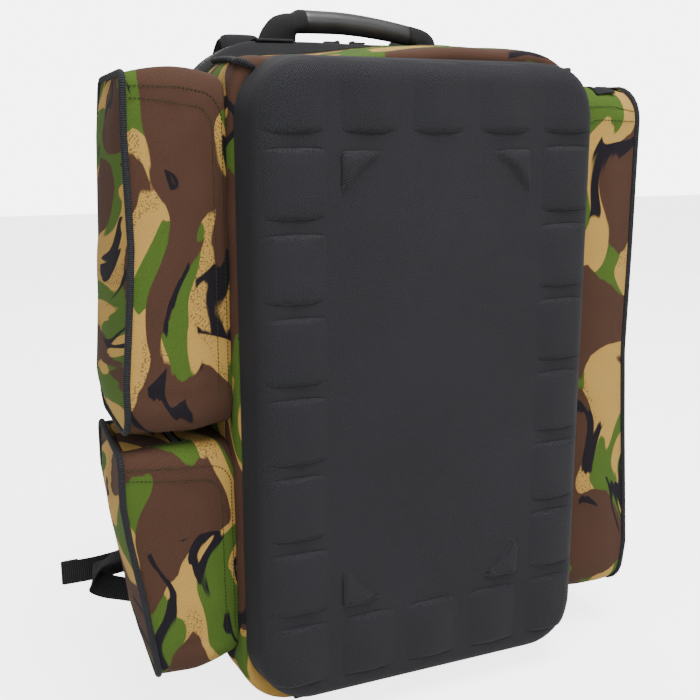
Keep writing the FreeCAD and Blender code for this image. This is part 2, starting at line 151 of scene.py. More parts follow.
def block_faces(base, count, rings):
    """Faces of a closed block whose points stand in rings of count, from index base."""
    faces = []
    for low in range(base, base + count * (rings - 1), count):
        for a in range(count):
            n = (a + 1) % count
            faces.append((low + a, low + n, low + count + n, low + count + a))
    top = base + count * (rings - 1)
    return faces + [tuple(range(base + count - 1, base - 1, -1)), tuple(range(top, top + count))]


def thicken(piece, thick, offset=-1.0, rounds=0):
    """Give a sheet its thickness, and soften it with subdivision."""
    solid = piece.modifiers.new("thick", "SOLIDIFY")
    solid.thickness = thick * MM
    solid.offset = offset
    if rounds:
        sub = piece.modifiers.new("soft", "SUBSURF")
        sub.levels = rounds
        sub.render_levels = rounds
    return piece


def weld(piece, distance):
    """Merge points closer than a distance in metres."""
    piece.modifiers.new("weld", "WELD").merge_threshold = distance


CORD_SIDES = 12
STITCH_PITCH = 3.4
STITCH_LENGTH = 2.3
STITCH_RADIUS = 0.42
STITCH_LIFT = 2.1            # from the sheet's middle to the stitches on it
STITCH_RINGS = ((-0.5, 0.25), (-0.34, 1.0), (0.34, 1.0), (0.5, 0.25))   # place along it, share of the radius


def tube(name, path, radius, closed=False):
    """Round cord along a path of points, with rounded ends."""
    count = len(path)
    points = [Vector(p) for p in path]
    normal = None
    rows = []
    for i, p in enumerate(points):
        if closed:
            along = points[(i + 1) % count] - points[i - 1]
        else:
            along = points[min(i + 1, count - 1)] - points[max(i - 1, 0)]
        along.normalize()
        if normal is None:
            normal = along.orthogonal().normalized()
        normal = (normal - along * normal.dot(along)).normalized()
        other = along.cross(normal)
        rows.append([p + normal * (math.cos(angle) * radius) + other * (math.sin(angle) * radius)
                     for angle in around(CORD_SIDES)])
    if closed:
        rows.append(rows[0])
    else:
        first = points[0] - (points[1] - points[0]).normalized() * radius * 0.5
        final = points[-1] + (points[-1] - points[-2]).normalized() * radius * 0.5
        rows.insert(0, [first.lerp(q, 0.55) for q in rows[0]])
        rows.append([final.lerp(q, 0.55) for q in rows[-1]])
        close_ends(rows, first, final, 0.02)
    return skin(name, rows, wrap=True)


def along_path(path, spacing):
    """Evenly spaced (point, direction) pairs along a polyline."""
    found = []
    left = spacing / 2
    for a, b in zip(path, path[1:]):
        a = Vector(a)
        step = Vector(b) - a
        length = step.length
        if length < 1e-6:
            continue
        way = step / length
        while left <= length:
            found.append((a + way * left, way))
            left += spacing
        left -= length
    return found


def thread(name, path, out):
    """Row of separate stitches on a seam; out points away from the cloth."""
    verts = []
    faces = []
    for spot, way in along_path(path, STITCH_PITCH):
        side = way.cross(Vector(out)).normalized()
        up = side.cross(way).normalized()
        faces += block_faces(len(verts), 5, len(STITCH_RINGS))
        for place, size in STITCH_RINGS:
            for angle in around(5):
                verts.append(spot + way * (place * STITCH_LENGTH)
                             + side * (math.cos(angle) * STITCH_RADIUS * size)
                             + up * (math.sin(angle) * STITCH_RADIUS * size))
    return new_piece(name, verts, faces)


def rounded_path(u0, u1, v0, v1, low_r, top_r, count):
    """count points round a rounded rectangle, each (u, v, outward u, outward v), from the bottom's middle."""
    runs = []
    mid = (u0 + u1) / 2

    def line(ax, ay, bx, by, nx, ny):
        runs.append((math.hypot(bx - ax, by - ay),
                     lambda share: (ax + (bx - ax) * share, ay + (by - ay) * share, nx, ny)))

    def arc(cx, cy, r, start):
        def spot(share):
            angle = math.radians(start + 90 * share)
            return cx + r * math.cos(angle), cy + r * math.sin(angle), math.cos(angle), math.sin(angle)
        runs.append((math.pi / 2 * r, spot))

    line(mid, v0, u1 - low_r, v0, 0, -1)
    arc(u1 - low_r, v0 + low_r, low_r, -90)
    line(u1, v0 + low_r, u1, v1 - top_r, 1, 0)
    arc(u1 - top_r, v1 - top_r, top_r, 0)
    line(u1 - top_r, v1, u0 + top_r, v1, 0, 1)
    arc(u0 + top_r, v1 - top_r, top_r, 90)
    line(u0, v1 - top_r, u0, v0 + low_r, -1, 0)
    arc(u0 + low_r, v0 + low_r, low_r, 180)
    line(u0 + low_r, v0, mid, v0, 0, -1)
    total = sum(run[0] for run in runs)
    points = []
    for k in range(count):
        left = total * k / count
        for run in runs:
            if left <= run[0] or run is runs[-1]:
                break
            left -= run[0]
        points.append(run[1](left / run[0] if run[0] else 0.0))
    return points


def ripple(point, size, seed):
    """Smooth random value about zero at a point in millimetres, for folds about size across."""
    return noise.noise(Vector(point) / size + Vector((seed * 7.31, seed * 3.17, seed * 1.93)))


def smooth_step(x):
    """Ease from 0 to 1."""
    x = np.clip(x, 0.0, 1.0)
    return x * x * (3 - 2 * x)


# ---- node tools ---------------------------------------------------------------------------
def feed(tree, socket, value):
    """Link an input to another socket, or give it a value."""
    if isinstance(value, bpy.types.NodeSocket):
        tree.links.new(value, socket)
    elif value is not None:
        socket.default_value = value


def node(tree, kind, *inputs, **settings):
    """New node; settings that start with in_ are inputs by name, the others are properties."""
    made = tree.nodes.new("ShaderNode" + kind)
    for key, value in settings.items():
        if key.startswith("in_"):
            feed(tree, made.inputs[key[3:].replace("_", " ")], value)
        else:
            setattr(made, key, value)
    for socket, value in zip(made.inputs, inputs):
        feed(tree, socket, value)
    return made


def math_node(tree, operation, a, b=None):
    """Maths on two sockets or numbers."""
    return node(tree, "Math", a, b, operation=operation).outputs[0]


def weighted(tree, *parts):
    """Sum of (socket, weight) pairs."""
    total = None
    for socket, weight in parts:
        term = math_node(tree, "MULTIPLY", socket, weight)
        total = term if total is None else math_node(tree, "ADD", total, term)
    return total


def ramp(tree, value, *stops):
    """Colour ramp fed by a value, through (place, colour) stops."""
    made = node(tree, "ValToRGB", value)
    for element, (place, colour) in zip(made.color_ramp.elements, stops):
        element.position = place
        element.color = (*colour, 1.0)
    return made.outputs[0]


def mix_colour(tree, share, a, b, blend="MIX"):
    """Blend of two colour sockets."""
    made = node(tree, "Mix", data_type="RGBA", blend_type=blend)
    for index, value in ((0, share), (6, a), (7, b)):
        feed(tree, made.inputs[index], value)
    return made.outputs[2]


def edge(tree, value, level, width):
    """0 below a level and 1 above it, with a thin soft edge."""
    return ramp(tree, value, (max(level - width, 0.0), (0, 0, 0)), (min(level + width, 1.0), (1, 1, 1)))


def shader_group(name, inputs, outputs):
    """Empty node group with named sockets."""
    tree = bpy.data.node_groups.new(name, "ShaderNodeTree")
    for label, kind, value in inputs:
        socket = tree.interface.new_socket(label, in_out="INPUT", socket_type="NodeSocket" + kind)
        if value is not None:
            socket.default_value = value
    for label, kind in outputs:
        tree.interface.new_socket(label, in_out="OUTPUT", socket_type="NodeSocket" + kind)
    return tree, tree.nodes.new("NodeGroupInput"), tree.nodes.new("NodeGroupOutput")


ONE_RIB = 0.314              # wave scale that gives one rib per unit


def weave_group():
    """Crossing threads seen as fine slanted ribs: a height and a tone that change over the cloth."""
    tree, given, result = shader_group(
        "slanted_weave",
        (("Vector", "Vector", None), ("Pitch", "Float", 0.0015), ("Lean", "Float", 0.8)),
        (("Height", "Float"), ("Tone", "Float")))
    scaled = node(tree, "VectorMath", operation="SCALE", in_Vector=given.outputs["Vector"],
                  in_Scale=math_node(tree, "DIVIDE", 1.0, given.outputs["Pitch"])).outputs[0]
    turned = node(tree, "VectorRotate", rotation_type="Z_AXIS", in_Vector=scaled,
                  in_Angle=given.outputs["Lean"]).outputs[0]
    ribs = node(tree, "TexWave", in_Vector=turned, in_Scale=ONE_RIB, in_Distortion=0.7, in_Detail=1.0,
                in_Detail_Scale=1.5)
    cross = node(tree, "TexWave", bands_direction="Y", in_Vector=turned, in_Scale=0.45, in_Distortion=0.5,
                 in_Detail=1.0)
    both = weighted(tree, (ribs.outputs["Fac"], 0.65), (cross.outputs["Fac"], 0.35))
    fibre = node(tree, "TexNoise", in_Vector=scaled, in_Scale=0.9, in_Detail=2.0)
    feed(tree, result.inputs["Height"], both)
    feed(tree, result.inputs["Tone"], weighted(tree, (both, 0.6), (fibre.outputs["Fac"], 0.4)))
    return tree


def camouflage_group():
    """Four-colour brush-stroke print in metres of cloth."""
    tree, given, result = shader_group(
        "brush_print",
        (("Vector", "Vector", None), ("Tan", "Color", (0.46, 0.28, 0.070, 1)),
         ("Green", "Color", (0.066, 0.122, 0.017, 1)), ("Brown", "Color", (0.072, 0.035, 0.022, 1)),
         ("Black", "Color", (0.012, 0.010, 0.014, 1))),
        (("Color", "Color"),))
    place = given.outputs["Vector"]

    def stretched(turn, along, across, shift):
        """The swirled place, turned, stretched and moved."""
        return node(tree, "Mapping", in_Vector=flow, in_Rotation=(0, 0, turn), in_Scale=(along, across, 1),
                    in_Location=(shift, shift * 0.7, shift * 0.3)).outputs[0]

    def noise_at(vector, scale, detail=1.0, rough=0.4, warp=0.0):
        return node(tree, "TexNoise", in_Vector=vector, in_Scale=scale, in_Detail=detail, in_Roughness=rough,
                    in_Distortion=warp).outputs["Fac"]

    def stroke(turn, shape, scale, shift, hair):
        """Value that is high inside brush strokes along one direction, with hairy ends."""
        body = noise_at(stretched(turn, *shape, shift), scale, 0.6, 0.4, 0.25)
        streak = noise_at(stretched(turn, 14.0, 150.0, shift + 0.37), 1.0)
        hairs = math_node(tree, "MULTIPLY", math_node(tree, "SUBTRACT", streak, 0.5), hair)
        return math_node(tree, "ADD", body, hairs)

    swirl = node(tree, "TexNoise", in_Vector=place, in_Scale=7.5, in_Detail=1.0)
    flow = node(tree, "VectorMath", swirl.outputs["Color"], (0.12, 0.12, 0.0), place,
                operation="MULTIPLY_ADD").outputs[0]
    green = edge(tree, stroke(0.55, (0.55, 1.35), 21.0, 0.31, 0.05), 0.51, 0.0035)
    brown_value = stroke(-0.65, (0.6, 1.15), 17.0, 1.73, 0.07)
    brown = edge(tree, brown_value, 0.515, 0.0035)
    twig_value = stroke(0.35, (0.5, 1.5), 22.0, 2.9, 0.10)
    twig = ramp(tree, math_node(tree, "ABSOLUTE", math_node(tree, "SUBTRACT", twig_value, 0.5)),
                (0.034, (1, 1, 1)), (0.040, (0, 0, 0)))
    where = noise_at(stretched(0.9, 0.8, 1.2, 4.4), 15.0)
    black = math_node(tree, "MULTIPLY", twig, edge(tree, where, 0.535, 0.004))
    patch = noise_at(stretched(0.2, 0.8, 1.3, 6.1), 16.0)
    grit = noise_at(place, 560.0, rough=0.5)
    fringe = math_node(tree, "MULTIPLY", ramp(tree, brown_value, (0.41, (0, 0, 0)), (0.44, (1, 1, 1))),
                       edge(tree, patch, 0.5, 0.01))
    stipple = math_node(tree, "MULTIPLY", edge(tree, grit, 0.57, 0.03), fringe)
    colour = given.outputs["Tan"]
    for share, ink in ((math_node(tree, "MULTIPLY", stipple, 0.7), "Brown"), (green, "Green"), (brown, "Brown"),
                       (black, "Black")):
        colour = mix_colour(tree, share, colour, given.outputs[ink])
    feed(tree, result.inputs["Color"], colour)
    return tree


def wear_group():
    """Slow change of tone over a surface, like dust and handling."""
    tree, given, result = shader_group(
        "handled_tone", (("Vector", "Vector", None), ("Size", "Float", 12.0)), (("Tone", "Float"),))
    cloud = node(tree, "TexNoise", in_Vector=given.outputs["Vector"], in_Scale=given.outputs["Size"],
                 in_Detail=4.0, in_Roughness=0.6)
    feed(tree, result.inputs["Tone"], cloud.outputs["Fac"])
    return tree


WEAVE = weave_group()
PRINT = camouflage_group()
WEAR = wear_group()


def start_material(name, rough, gloss=0.12, sheen=0.0):
    """Material with its node tree and its shader."""
    made = bpy.data.materials.new(name)
    made.use_nodes = True
    shader = made.node_tree.nodes["Principled BSDF"]
    for label, value in (("Roughness", rough), ("Specular IOR Level", gloss), ("Sheen Weight", sheen)):
        shader.inputs[label].default_value = value
    return made, made.node_tree, shader


def place_group(tree, group, vector, **values):
    """Group node fed with a coordinate."""
    return node(tree, "Group", node_tree=group, in_Vector=vector, **values)


def coordinate(tree, flat):
    """Metres along the cloth, or metres in the object where the piece has no cloth lengths."""
    if flat:
        return node(tree, "UVMap", uv_map="cloth").outputs[0]
    return node(tree, "TexCoord").outputs["Object"]


def bump(tree, shader, height, strength, distance):
    """Fine relief."""
    relief = node(tree, "Bump", in_Strength=strength, in_Distance=distance, in_Height=height)
    feed(tree, shader.inputs["Normal"], relief.outputs[0])


def paint(tree, shader, value, dark, light):
    """Base colour that runs between two (place, colour) stops."""
    feed(tree, shader.inputs["Base Color"], ramp(tree, value, dark, light))


def printed_cloth(name, shift):
    """Twill cloth with the brush-stroke print."""
    made, tree, shader = start_material(name, 0.82, sheen=0.02)
    flat = coordinate(tree, True)
    moved = node(tree, "VectorMath", flat, shift, operation="ADD").outputs[0]
    ink = place_group(tree, PRINT, moved).outputs["Color"]
    weave = place_group(tree, WEAVE, flat, in_Pitch=0.0016, in_Lean=0.86)
    tone = ramp(tree, weave.outputs["Tone"], (0.25, (0.66, 0.66, 0.66)), (0.75, (1.14, 1.14, 1.14)))
    feed(tree, shader.inputs["Base Color"], mix_colour(tree, 1.0, ink, tone, "MULTIPLY"))
    bump(tree, shader, weave.outputs["Height"], 0.5, 0.0004)
    return made


def plain_cloth(name, dark, light, pitch, rough=0.85, flat=True, lean=0.8):
    """Single-colour woven cloth."""
    made, tree, shader = start_material(name, rough, sheen=0.03)
    vector = coordinate(tree, flat)
    weave = place_group(tree, WEAVE, vector, in_Pitch=pitch, in_Lean=lean)
    cloud = place_group(tree, WEAR, vector, in_Size=14.0)
    tone = weighted(tree, (weave.outputs["Tone"], 0.75), (cloud.outputs["Tone"], 0.25))
    paint(tree, shader, tone, (0.28, dark), (0.72, light))
    bump(tree, shader, weave.outputs["Height"], 0.6, pitch * 0.25)
    return made


def ribbed(name, dark, light, pitch):
    """Webbing or cord cover with ribs across it."""
    made, tree, shader = start_material(name, 0.7, sheen=0.03)
    vector = coordinate(tree, True)
    scaled = node(tree, "VectorMath", operation="SCALE", in_Scale=1.0 / pitch, in_Vector=vector).outputs[0]
    turned = node(tree, "VectorRotate", rotation_type="Z_AXIS", in_Angle=1.5708, in_Vector=scaled).outputs[0]
    ribs = node(tree, "TexWave", in_Scale=ONE_RIB, in_Distortion=0.15, in_Vector=turned).outputs["Fac"]
    fine = place_group(tree, WEAVE, vector, in_Pitch=pitch * 0.5, in_Lean=0.8)
    height = math_node(tree, "ADD", ribs, math_node(tree, "MULTIPLY", fine.outputs["Height"], 0.35))
    paint(tree, shader, ribs, (0.1, dark), (0.9, light))
    bump(tree, shader, height, 0.7, pitch * 0.3)
    return made


def foam_face_cloth():
    """Charcoal cloth pressed onto foam: a speckle of dark and pale fibres."""
    made, tree, shader = start_material("charcoal_pressed_cloth", 0.78, sheen=0.03)
    vector = coordinate(tree, True)
    speckle = node(tree, "TexNoise", in_Scale=1300.0, in_Detail=2.0, in_Roughness=0.7,
                   in_Vector=vector).outputs["Fac"]
    weave = place_group(tree, WEAVE, vector, in_Pitch=0.0012, in_Lean=0.75)
    cloud = place_group(tree, WEAR, vector, in_Size=7.0)
    tone = weighted(tree, (speckle, 0.6), (weave.outputs["Tone"], 0.34), (cloud.outputs["Tone"], 0.06))
    paint(tree, shader, tone, (0.38, (0.004, 0.004, 0.005)), (0.62, (0.036, 0.036, 0.041)))
    bump(tree, shader, math_node(tree, "ADD", weave.outputs["Height"], speckle), 0.35, 0.0003)
    return made


def mesh_cloth():
    """Black spacer mesh with small round holes, painted darker inside them as painted shade."""
    made, tree, shader = start_material("black_spacer_mesh", 0.8)
    cells = node(tree, "TexVoronoi", in_Scale=330.0, in_Randomness=0.15,
                 in_Vector=coordinate(tree, True)).outputs["Distance"]
    # the darker colour near each hole's middle is painted shade in the hole, over the mesh's own black
    paint(tree, shader, cells, (0.18, (0.004, 0.004, 0.004)), (0.42, (0.030, 0.030, 0.032)))
    bump(tree, shader, cells, 0.8, 0.0008)
    return made


def moulded(name, dark, light, rough, grain):
    """Moulded plastic, rubber or painted casting with a fine grain."""
    made, tree, shader = start_material(name, rough, gloss=0.5)
    vector = coordinate(tree, False)
    cloud = place_group(tree, WEAR, vector, in_Size=40.0).outputs["Tone"]
    fine = node(tree, "TexNoise", in_Scale=grain, in_Detail=2.0, in_Vector=vector)
    paint(tree, shader, cloud, (0.3, dark), (0.7, light))
    low = max(rough - 0.1, 0.05)
    feed(tree, shader.inputs["Roughness"], ramp(tree, cloud, (0.3, (low,) * 3), (0.7, (rough + 0.1,) * 3)))
    bump(tree, shader, fine.outputs["Fac"], 0.15, 0.0003)
    return made


def thread_material(name, colour):
    """Twisted sewing thread."""
    made, tree, shader = start_material(name, 0.6)
    twist = node(tree, "TexWave", in_Scale=700.0, in_Distortion=1.0,
                 in_Vector=coordinate(tree, False)).outputs["Fac"]
    paint(tree, shader, twist, (0.2, tuple(c * 0.5 for c in colour)), (0.8, colour))
    bump(tree, shader, twist, 0.3, 0.0002)
    return made


CAMO = {
    "body": printed_cloth("print_body", (0.0, 0.0, 0.0)),
    "left_upper": printed_cloth("print_left_upper", (0.9, 0.35, 0.0)),
    "left_lower": printed_cloth("print_left_lower", (2.1, 1.1, 0.0)),
    "right": printed_cloth("print_right", (3.3, 0.6, 0.0)),
}
CHARCOAL = foam_face_cloth()
BLACK_CLOTH = plain_cloth("black_cloth", (0.008, 0.008, 0.009), (0.030, 0.030, 0.032), 0.0011)
LINING = plain_cloth("dark_lining", (0.006, 0.006, 0.006), (0.018, 0.018, 0.019), 0.0008, flat=False)
TAPE = plain_cloth("zip_tape_cloth", (0.006, 0.006, 0.007), (0.022, 0.022, 0.024), 0.0009, flat=False)
TWILL = plain_cloth("handle_twill", (0.008, 0.008, 0.008), (0.038, 0.038, 0.039), 0.0010, lean=0.9)
PIPING = ribbed("piping_cover", (0.007, 0.007, 0.009), (0.034, 0.034, 0.038), 0.0017)
WEBBING = ribbed("webbing_ribs", (0.008, 0.008, 0.009), (0.040, 0.040, 0.043), 0.0019)
MESH = mesh_cloth()
RUBBER = moulded("grip_rubber", (0.022, 0.022, 0.023), (0.034, 0.034, 0.035), 0.42, 500.0)
ACETAL = moulded("black_acetal", (0.012, 0.012, 0.012), (0.022, 0.022, 0.022), 0.45, 900.0)
PAINTED = moulded("black_painted_casting", (0.02, 0.02, 0.021), (0.05, 0.05, 0.052), 0.35, 1200.0)
BOARD = moulded("plain_board", (0.05, 0.05, 0.05), (0.08, 0.08, 0.08), 0.6, 300.0)
COATED = plain_cloth("coated_base_cloth", (0.010, 0.010, 0.010), (0.024, 0.024, 0.025), 0.0014, 0.5,
                     flat=False)
GREEN_THREAD = thread_material("dark_green_thread", (0.035, 0.050, 0.020))
COIL = moulded("zip_coil", (0.010, 0.010, 0.011), (0.10, 0.10, 0.105), 0.35, 1500.0)


def finish_piece(piece, body, slot, material, *nodes):
    """Material, body and the solids that a piece stands for; the slot argument is not used; a blended piece
    rides no single body.
    """
    piece.data.materials.append(material)
    if body:
        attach(piece, body)
    if nodes:
        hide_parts(*nodes)
    return piece


# ---- camera and light ---------------------------------------------------------------------
def make_camera():
    """View from the front left, a little below the top of the bag."""
    data = bpy.data.cameras.new("camera")
    data.lens = 51.43
    data.sensor_width = 36.0
    camera = bpy.data.objects.new("camera", data)
    right = Vector((0.914, -0.405, -0.001))
    up = Vector((0.086, 0.191, 0.978))
    back = Vector((-0.395, -0.894, 0.209))
    turn = Matrix((right, up, back)).transposed().to_4x4()
    camera.matrix_world = Matrix.Translation(Vector((-0.4055, -0.8569, 0.5055))) @ turn
    bpy.context.scene.collection.objects.link(camera)
    bpy.context.scene.camera = camera


def soft_light(name, place, aim, size, power):
    """Large square lamp aimed at a point."""
    data = bpy.data.lights.new(name, "AREA")
    data.shape = "SQUARE"
    data.size = size
    data.energy = power
    lamp = bpy.data.objects.new(name, data)
    lamp.location = place
    lamp.rotation_euler = (Vector(aim) - Vector(place)).to_track_quat("-Z", "Y").to_euler()
    bpy.context.scene.collection.objects.link(lamp)


BACKDROP_GLOW = 6.0
FLOOR_GLOW = 3.5
ROOM_GLOW = 0.42
FLOOR_REACH = 6000.0
LAMPS = (                    # name, place, aim, size, power
    ("overhead", (0.1, -0.8, 2.4), (0, -0.1, 0.3), 1.3, 80),
    ("key", (0.5, -2.4, 1.3), (0, 0, 0.35), 0.9, 21),
    ("fill", (-2.2, -0.9, 0.9), (0, 0, 0.3), 1.2, 9),
    ("back", (0.4, 1.8, 1.8), (0, 0, 0.3), 1.6, 16),
)


def camera_sees(tree):
    """1 where the camera looks at the surface itself, 0 for light that it sends."""
    return tree.nodes.new("ShaderNodeLightPath").outputs["Is Camera Ray"]


def make_studio():
    """Pale floor, white surroundings and four soft lamps."""
    world = bpy.data.worlds.new("studio")
    world.use_nodes = True
    tree = world.node_tree
    glow = tree.nodes["Background"]
    glow.inputs[0].default_value = (1.0, 1.0, 1.0, 1.0)
    extra = math_node(tree, "MULTIPLY", camera_sees(tree), BACKDROP_GLOW - ROOM_GLOW)
    feed(tree, glow.inputs[1], math_node(tree, "ADD", extra, ROOM_GLOW))
    bpy.context.scene.world = world
    corners = [(a * FLOOR_REACH, b * FLOOR_REACH, 0) for a, b in ((-1, -1), (1, -1), (1, 1), (-1, 1))]
    floor = new_piece("floor", corners, [(0, 1, 2, 3)])
    made, tree, shader = start_material("pale_floor", 0.9)
    cloud = place_group(tree, WEAR, coordinate(tree, False), in_Size=1.5)
    paint(tree, shader, cloud.outputs["Tone"], (0.3, (0.86, 0.86, 0.86)), (0.7, (0.9, 0.9, 0.9)))
    feed(tree, shader.inputs["Emission Strength"], math_node(tree, "MULTIPLY", camera_sees(tree), FLOOR_GLOW))
    shader.inputs["Emission Color"].default_value = (1.0, 1.0, 1.0, 1.0)
    floor.data.materials.append(made)
    for lamp in LAMPS:
        soft_light(*lamp)


# ---- moulded front panel ------------------------------------------------------------------
PANEL_DEPTH = 38.0
PANEL_CORNER = 44.0
FACE_Y = FRONT_Y - PANEL_DEPTH
PILLOW_PITCH = (63.0, 66.7)
PILLOW_SIZE = (51.0, 52.0)
PILLOW_FIRST = PANEL_LOW + 19.8
PILLOW_ROWS = 8
PILLOW_RISE = 4.6
FIELD = (87.0, 108.0, 493.0)
FIELD_CROWN = 2.6
SPANDREL = 37.0
SPANDREL_RISE = 3.4
LIP = 15.0
WALL = 40.0
DRAFT = math.radians(6.0)


def pillow_height(x, z):
    """Rise of the border's squares at points of the face."""
    column = np.clip(np.round(x / PILLOW_PITCH[0]), -2, 2)
    row = np.clip(np.floor((z - PILLOW_FIRST + 6) / PILLOW_PITCH[1]), 0, PILLOW_ROWS - 1)
    inner = (np.abs(column) < 2) & (row > 0) & (row < PILLOW_ROWS - 1)
    dx = np.abs(x - column * PILLOW_PITCH[0])
    dz = np.abs(z - PILLOW_FIRST - PILLOW_SIZE[1] / 2 - row * PILLOW_PITCH[1])
    corner = 5.0             # radius of a square's corners
    ax = dx - PILLOW_SIZE[0] / 2 + corner
    az = dz - PILLOW_SIZE[1] / 2 + corner
    away = np.hypot(np.maximum(ax, 0), np.maximum(az, 0)) + np.minimum(np.maximum(ax, az), 0) - corner
    across = np.clip(2 * dx / PILLOW_SIZE[0], 0, 1)
    along = np.clip(2 * dz / PILLOW_SIZE[1], 0, 1)
    dome = (1 - across ** 2) ** 1.4 * (1 - 0.35 * along ** 4)
    rise = PILLOW_RISE * smooth_step(-away / 2.2) * dome
    rise -= 0.6 * np.exp(-((away - 1.0) / 1.3) ** 2) * np.clip(1 - across ** 4, 0, 1)
    return np.where(inner, 0.0, rise)


def spandrel_height(x, z):
    """Rise of the field's four corners at points of the face."""
    half, low, top = FIELD
    u = half - np.abs(x)
    v = np.where(z > (low + top) / 2, top - z, z - low)
    bend = np.hypot(u - 1.7 * SPANDREL, v - 1.7 * SPANDREL) - 1.838 * SPANDREL
    reach = SPANDREL - np.maximum(u, v)
    inside = np.minimum(np.minimum(np.minimum(u, v), bend), reach)
    return SPANDREL_RISE * smooth_step(inside / 3.2)


def panel_lines(half, centre, marks):
    """Grid lines from -half to half, closer together beside each mark."""
    lines = set(np.round(np.arange(-half, half + 0.1, 3.0), 2))
    for mark in marks:
        for step in (-1.2, -0.2, 0.8, 1.8, 2.8, 3.8):
            for sign in (-1, 1):
                at = mark - centre + sign * step
                if abs(at) < half:
                    lines.add(round(at, 2))
    ordered = sorted(lines)
    kept = [ordered[0]]
    for value in ordered[1:]:
        if value - kept[-1] > 0.55:
            kept.append(value)
    kept[-1] = half
    return np.array(kept)


def make_moulded_panel():
    """Pressed tray: one sheet that runs from the sewn edge, round the lip and over the face."""
    flat_radius = PANEL_CORNER - LIP
    reach = flat_radius + WALL - LIP * 0.7 + LIP * math.pi / 2
    core_x = PANEL_HALF - 2.0 - PANEL_CORNER
    core_z = PANEL_TALL - 4.0 - PANEL_CORNER
    centre = PANEL_MID - 3.0
    marks_x = [c * PILLOW_PITCH[0] + s * PILLOW_SIZE[0] / 2 for c in range(-2, 3) for s in (-1, 1)]
    marks_z = [PILLOW_FIRST + row * PILLOW_PITCH[1] + end for row in range(PILLOW_ROWS)
               for end in (0.0, PILLOW_SIZE[1])]
    us = panel_lines(core_x + reach, 0.0, marks_x)
    vs = panel_lines(core_z + reach, centre, marks_z)
    u, v = np.meshgrid(us, vs)
    cu = np.clip(u, -core_x, core_x)
    cv = np.clip(v, -core_z, core_z)
    s = (u - cu) / reach
    t = (v - cv) / reach
    du = s * np.sqrt(1 - t * t / 2) * reach
    dv = t * np.sqrt(1 - s * s / 2) * reach
    rho = np.hypot(du, dv)
    safe = np.maximum(rho, 1e-6)
    over = np.maximum(rho - flat_radius, 0.0)
    arc = LIP * math.pi / 2 * 0.97
    angle = np.clip(over / arc, 0, 1) * (math.pi / 2 - DRAFT)
    rest = np.maximum(over - arc, 0.0)
    drop = LIP * (1 - np.cos(angle)) + rest * math.cos(DRAFT)
    out = LIP * np.sin(angle) + rest * math.sin(DRAFT)
    radius = np.where(rho > flat_radius, flat_radius + out, rho)
    x = cu + du / safe * radius
    z = cv + dv / safe * radius + centre
    depth = np.minimum(drop * PANEL_DEPTH / drop.max(), PANEL_DEPTH)
    y = FACE_Y + depth
    edge_in = np.maximum(np.abs(x) / PANEL_HALF, np.abs(z - centre) / PANEL_TALL)
    face = smooth_step(1 - depth / 9.0)
    field_crown = FIELD_CROWN * (1 - np.clip(edge_in, 0, 1) ** 2)
    rise = (pillow_height(x, z) + spandrel_height(x, z)) * face + field_crown * face
    plain = np.stack([x, y, z], -1)
    normal = np.cross(np.gradient(plain, axis=1), np.gradient(plain, axis=0))
    normal /= np.maximum(np.linalg.norm(normal, axis=-1, keepdims=True), 1e-9)
    normal = np.where(normal[..., 1:2] > 0.02, -normal, normal)
    panel = skin("moulded_panel_face", (plain + normal * rise[..., None]).tolist())
    thicken(panel, 3.6, 1.0)
    finish_piece(panel, "bag", "moulded_foam", CHARCOAL, "moulded_front_panel")


# ---- main bag -----------------------------------------------------------------------------
AROUND = 220
TOP_SAG = 12.0
BAND_PUFF = 3.0


def top_at(y):
    """Height of the bag's top and radius of its upper corners at one depth."""
    share = min(max((y - FRONT_Y) / (TAPE_Y - FRONT_Y), 0.0), 1.0)
    return FRONT_TOP + share * (REAR_TOP - FRONT_TOP), FRONT_RADIUS + share * (REAR_RADIUS - FRONT_RADIUS)


def body_ring_points(y, inset, count=AROUND):
    """Points round the bag at one depth."""
    top, radius = top_at(y)
    return [(u - nu * inset, y, v - nv * inset, nu, nv) for u, v, nu, nv in
            rounded_path(-BODY_HALF, BODY_HALF, BODY_LOW, top, FRONT_RADIUS, radius, count)]


def top_sag(x, y):
    """How far the cloth on the bag's top hangs, left of the middle, in front of the black band."""
    across = float(smooth_step((x + 155.0) / 35.0) * (1 - smooth_step((x + 110.0) / 150.0)))
    return TOP_SAG * across * (1 - float(smooth_step((y - BAND_Y) / 16.0)))


def body_sheet(name, stations, seed, puff, folds):
    """Band of the bag's wall through stations of (depth, inset)."""
    rows = []
    first = stations[0][0]
    last = stations[-1][0]
    for y, inset in stations:
        bulge = puff * math.sin(math.pi * min(max((y - first) / (last - first), 0), 1))
        row = []
        for x, _, z, nu, nv in body_ring_points(y, inset):
            swell = bulge * (0.35 if nv < -0.5 else 1.0)
            if z >= 20:
                swell += folds * ripple((x, y, z), 38.0, seed)
            low = top_sag(x, y) if nv > 0.3 else 0.0
            row.append((x + nu * swell, y, max(z + nv * swell - low, 0.6)))
        rows.append(row)
    return thicken(skin(name, rows, wrap=True), 2.0, 1.0, 1)


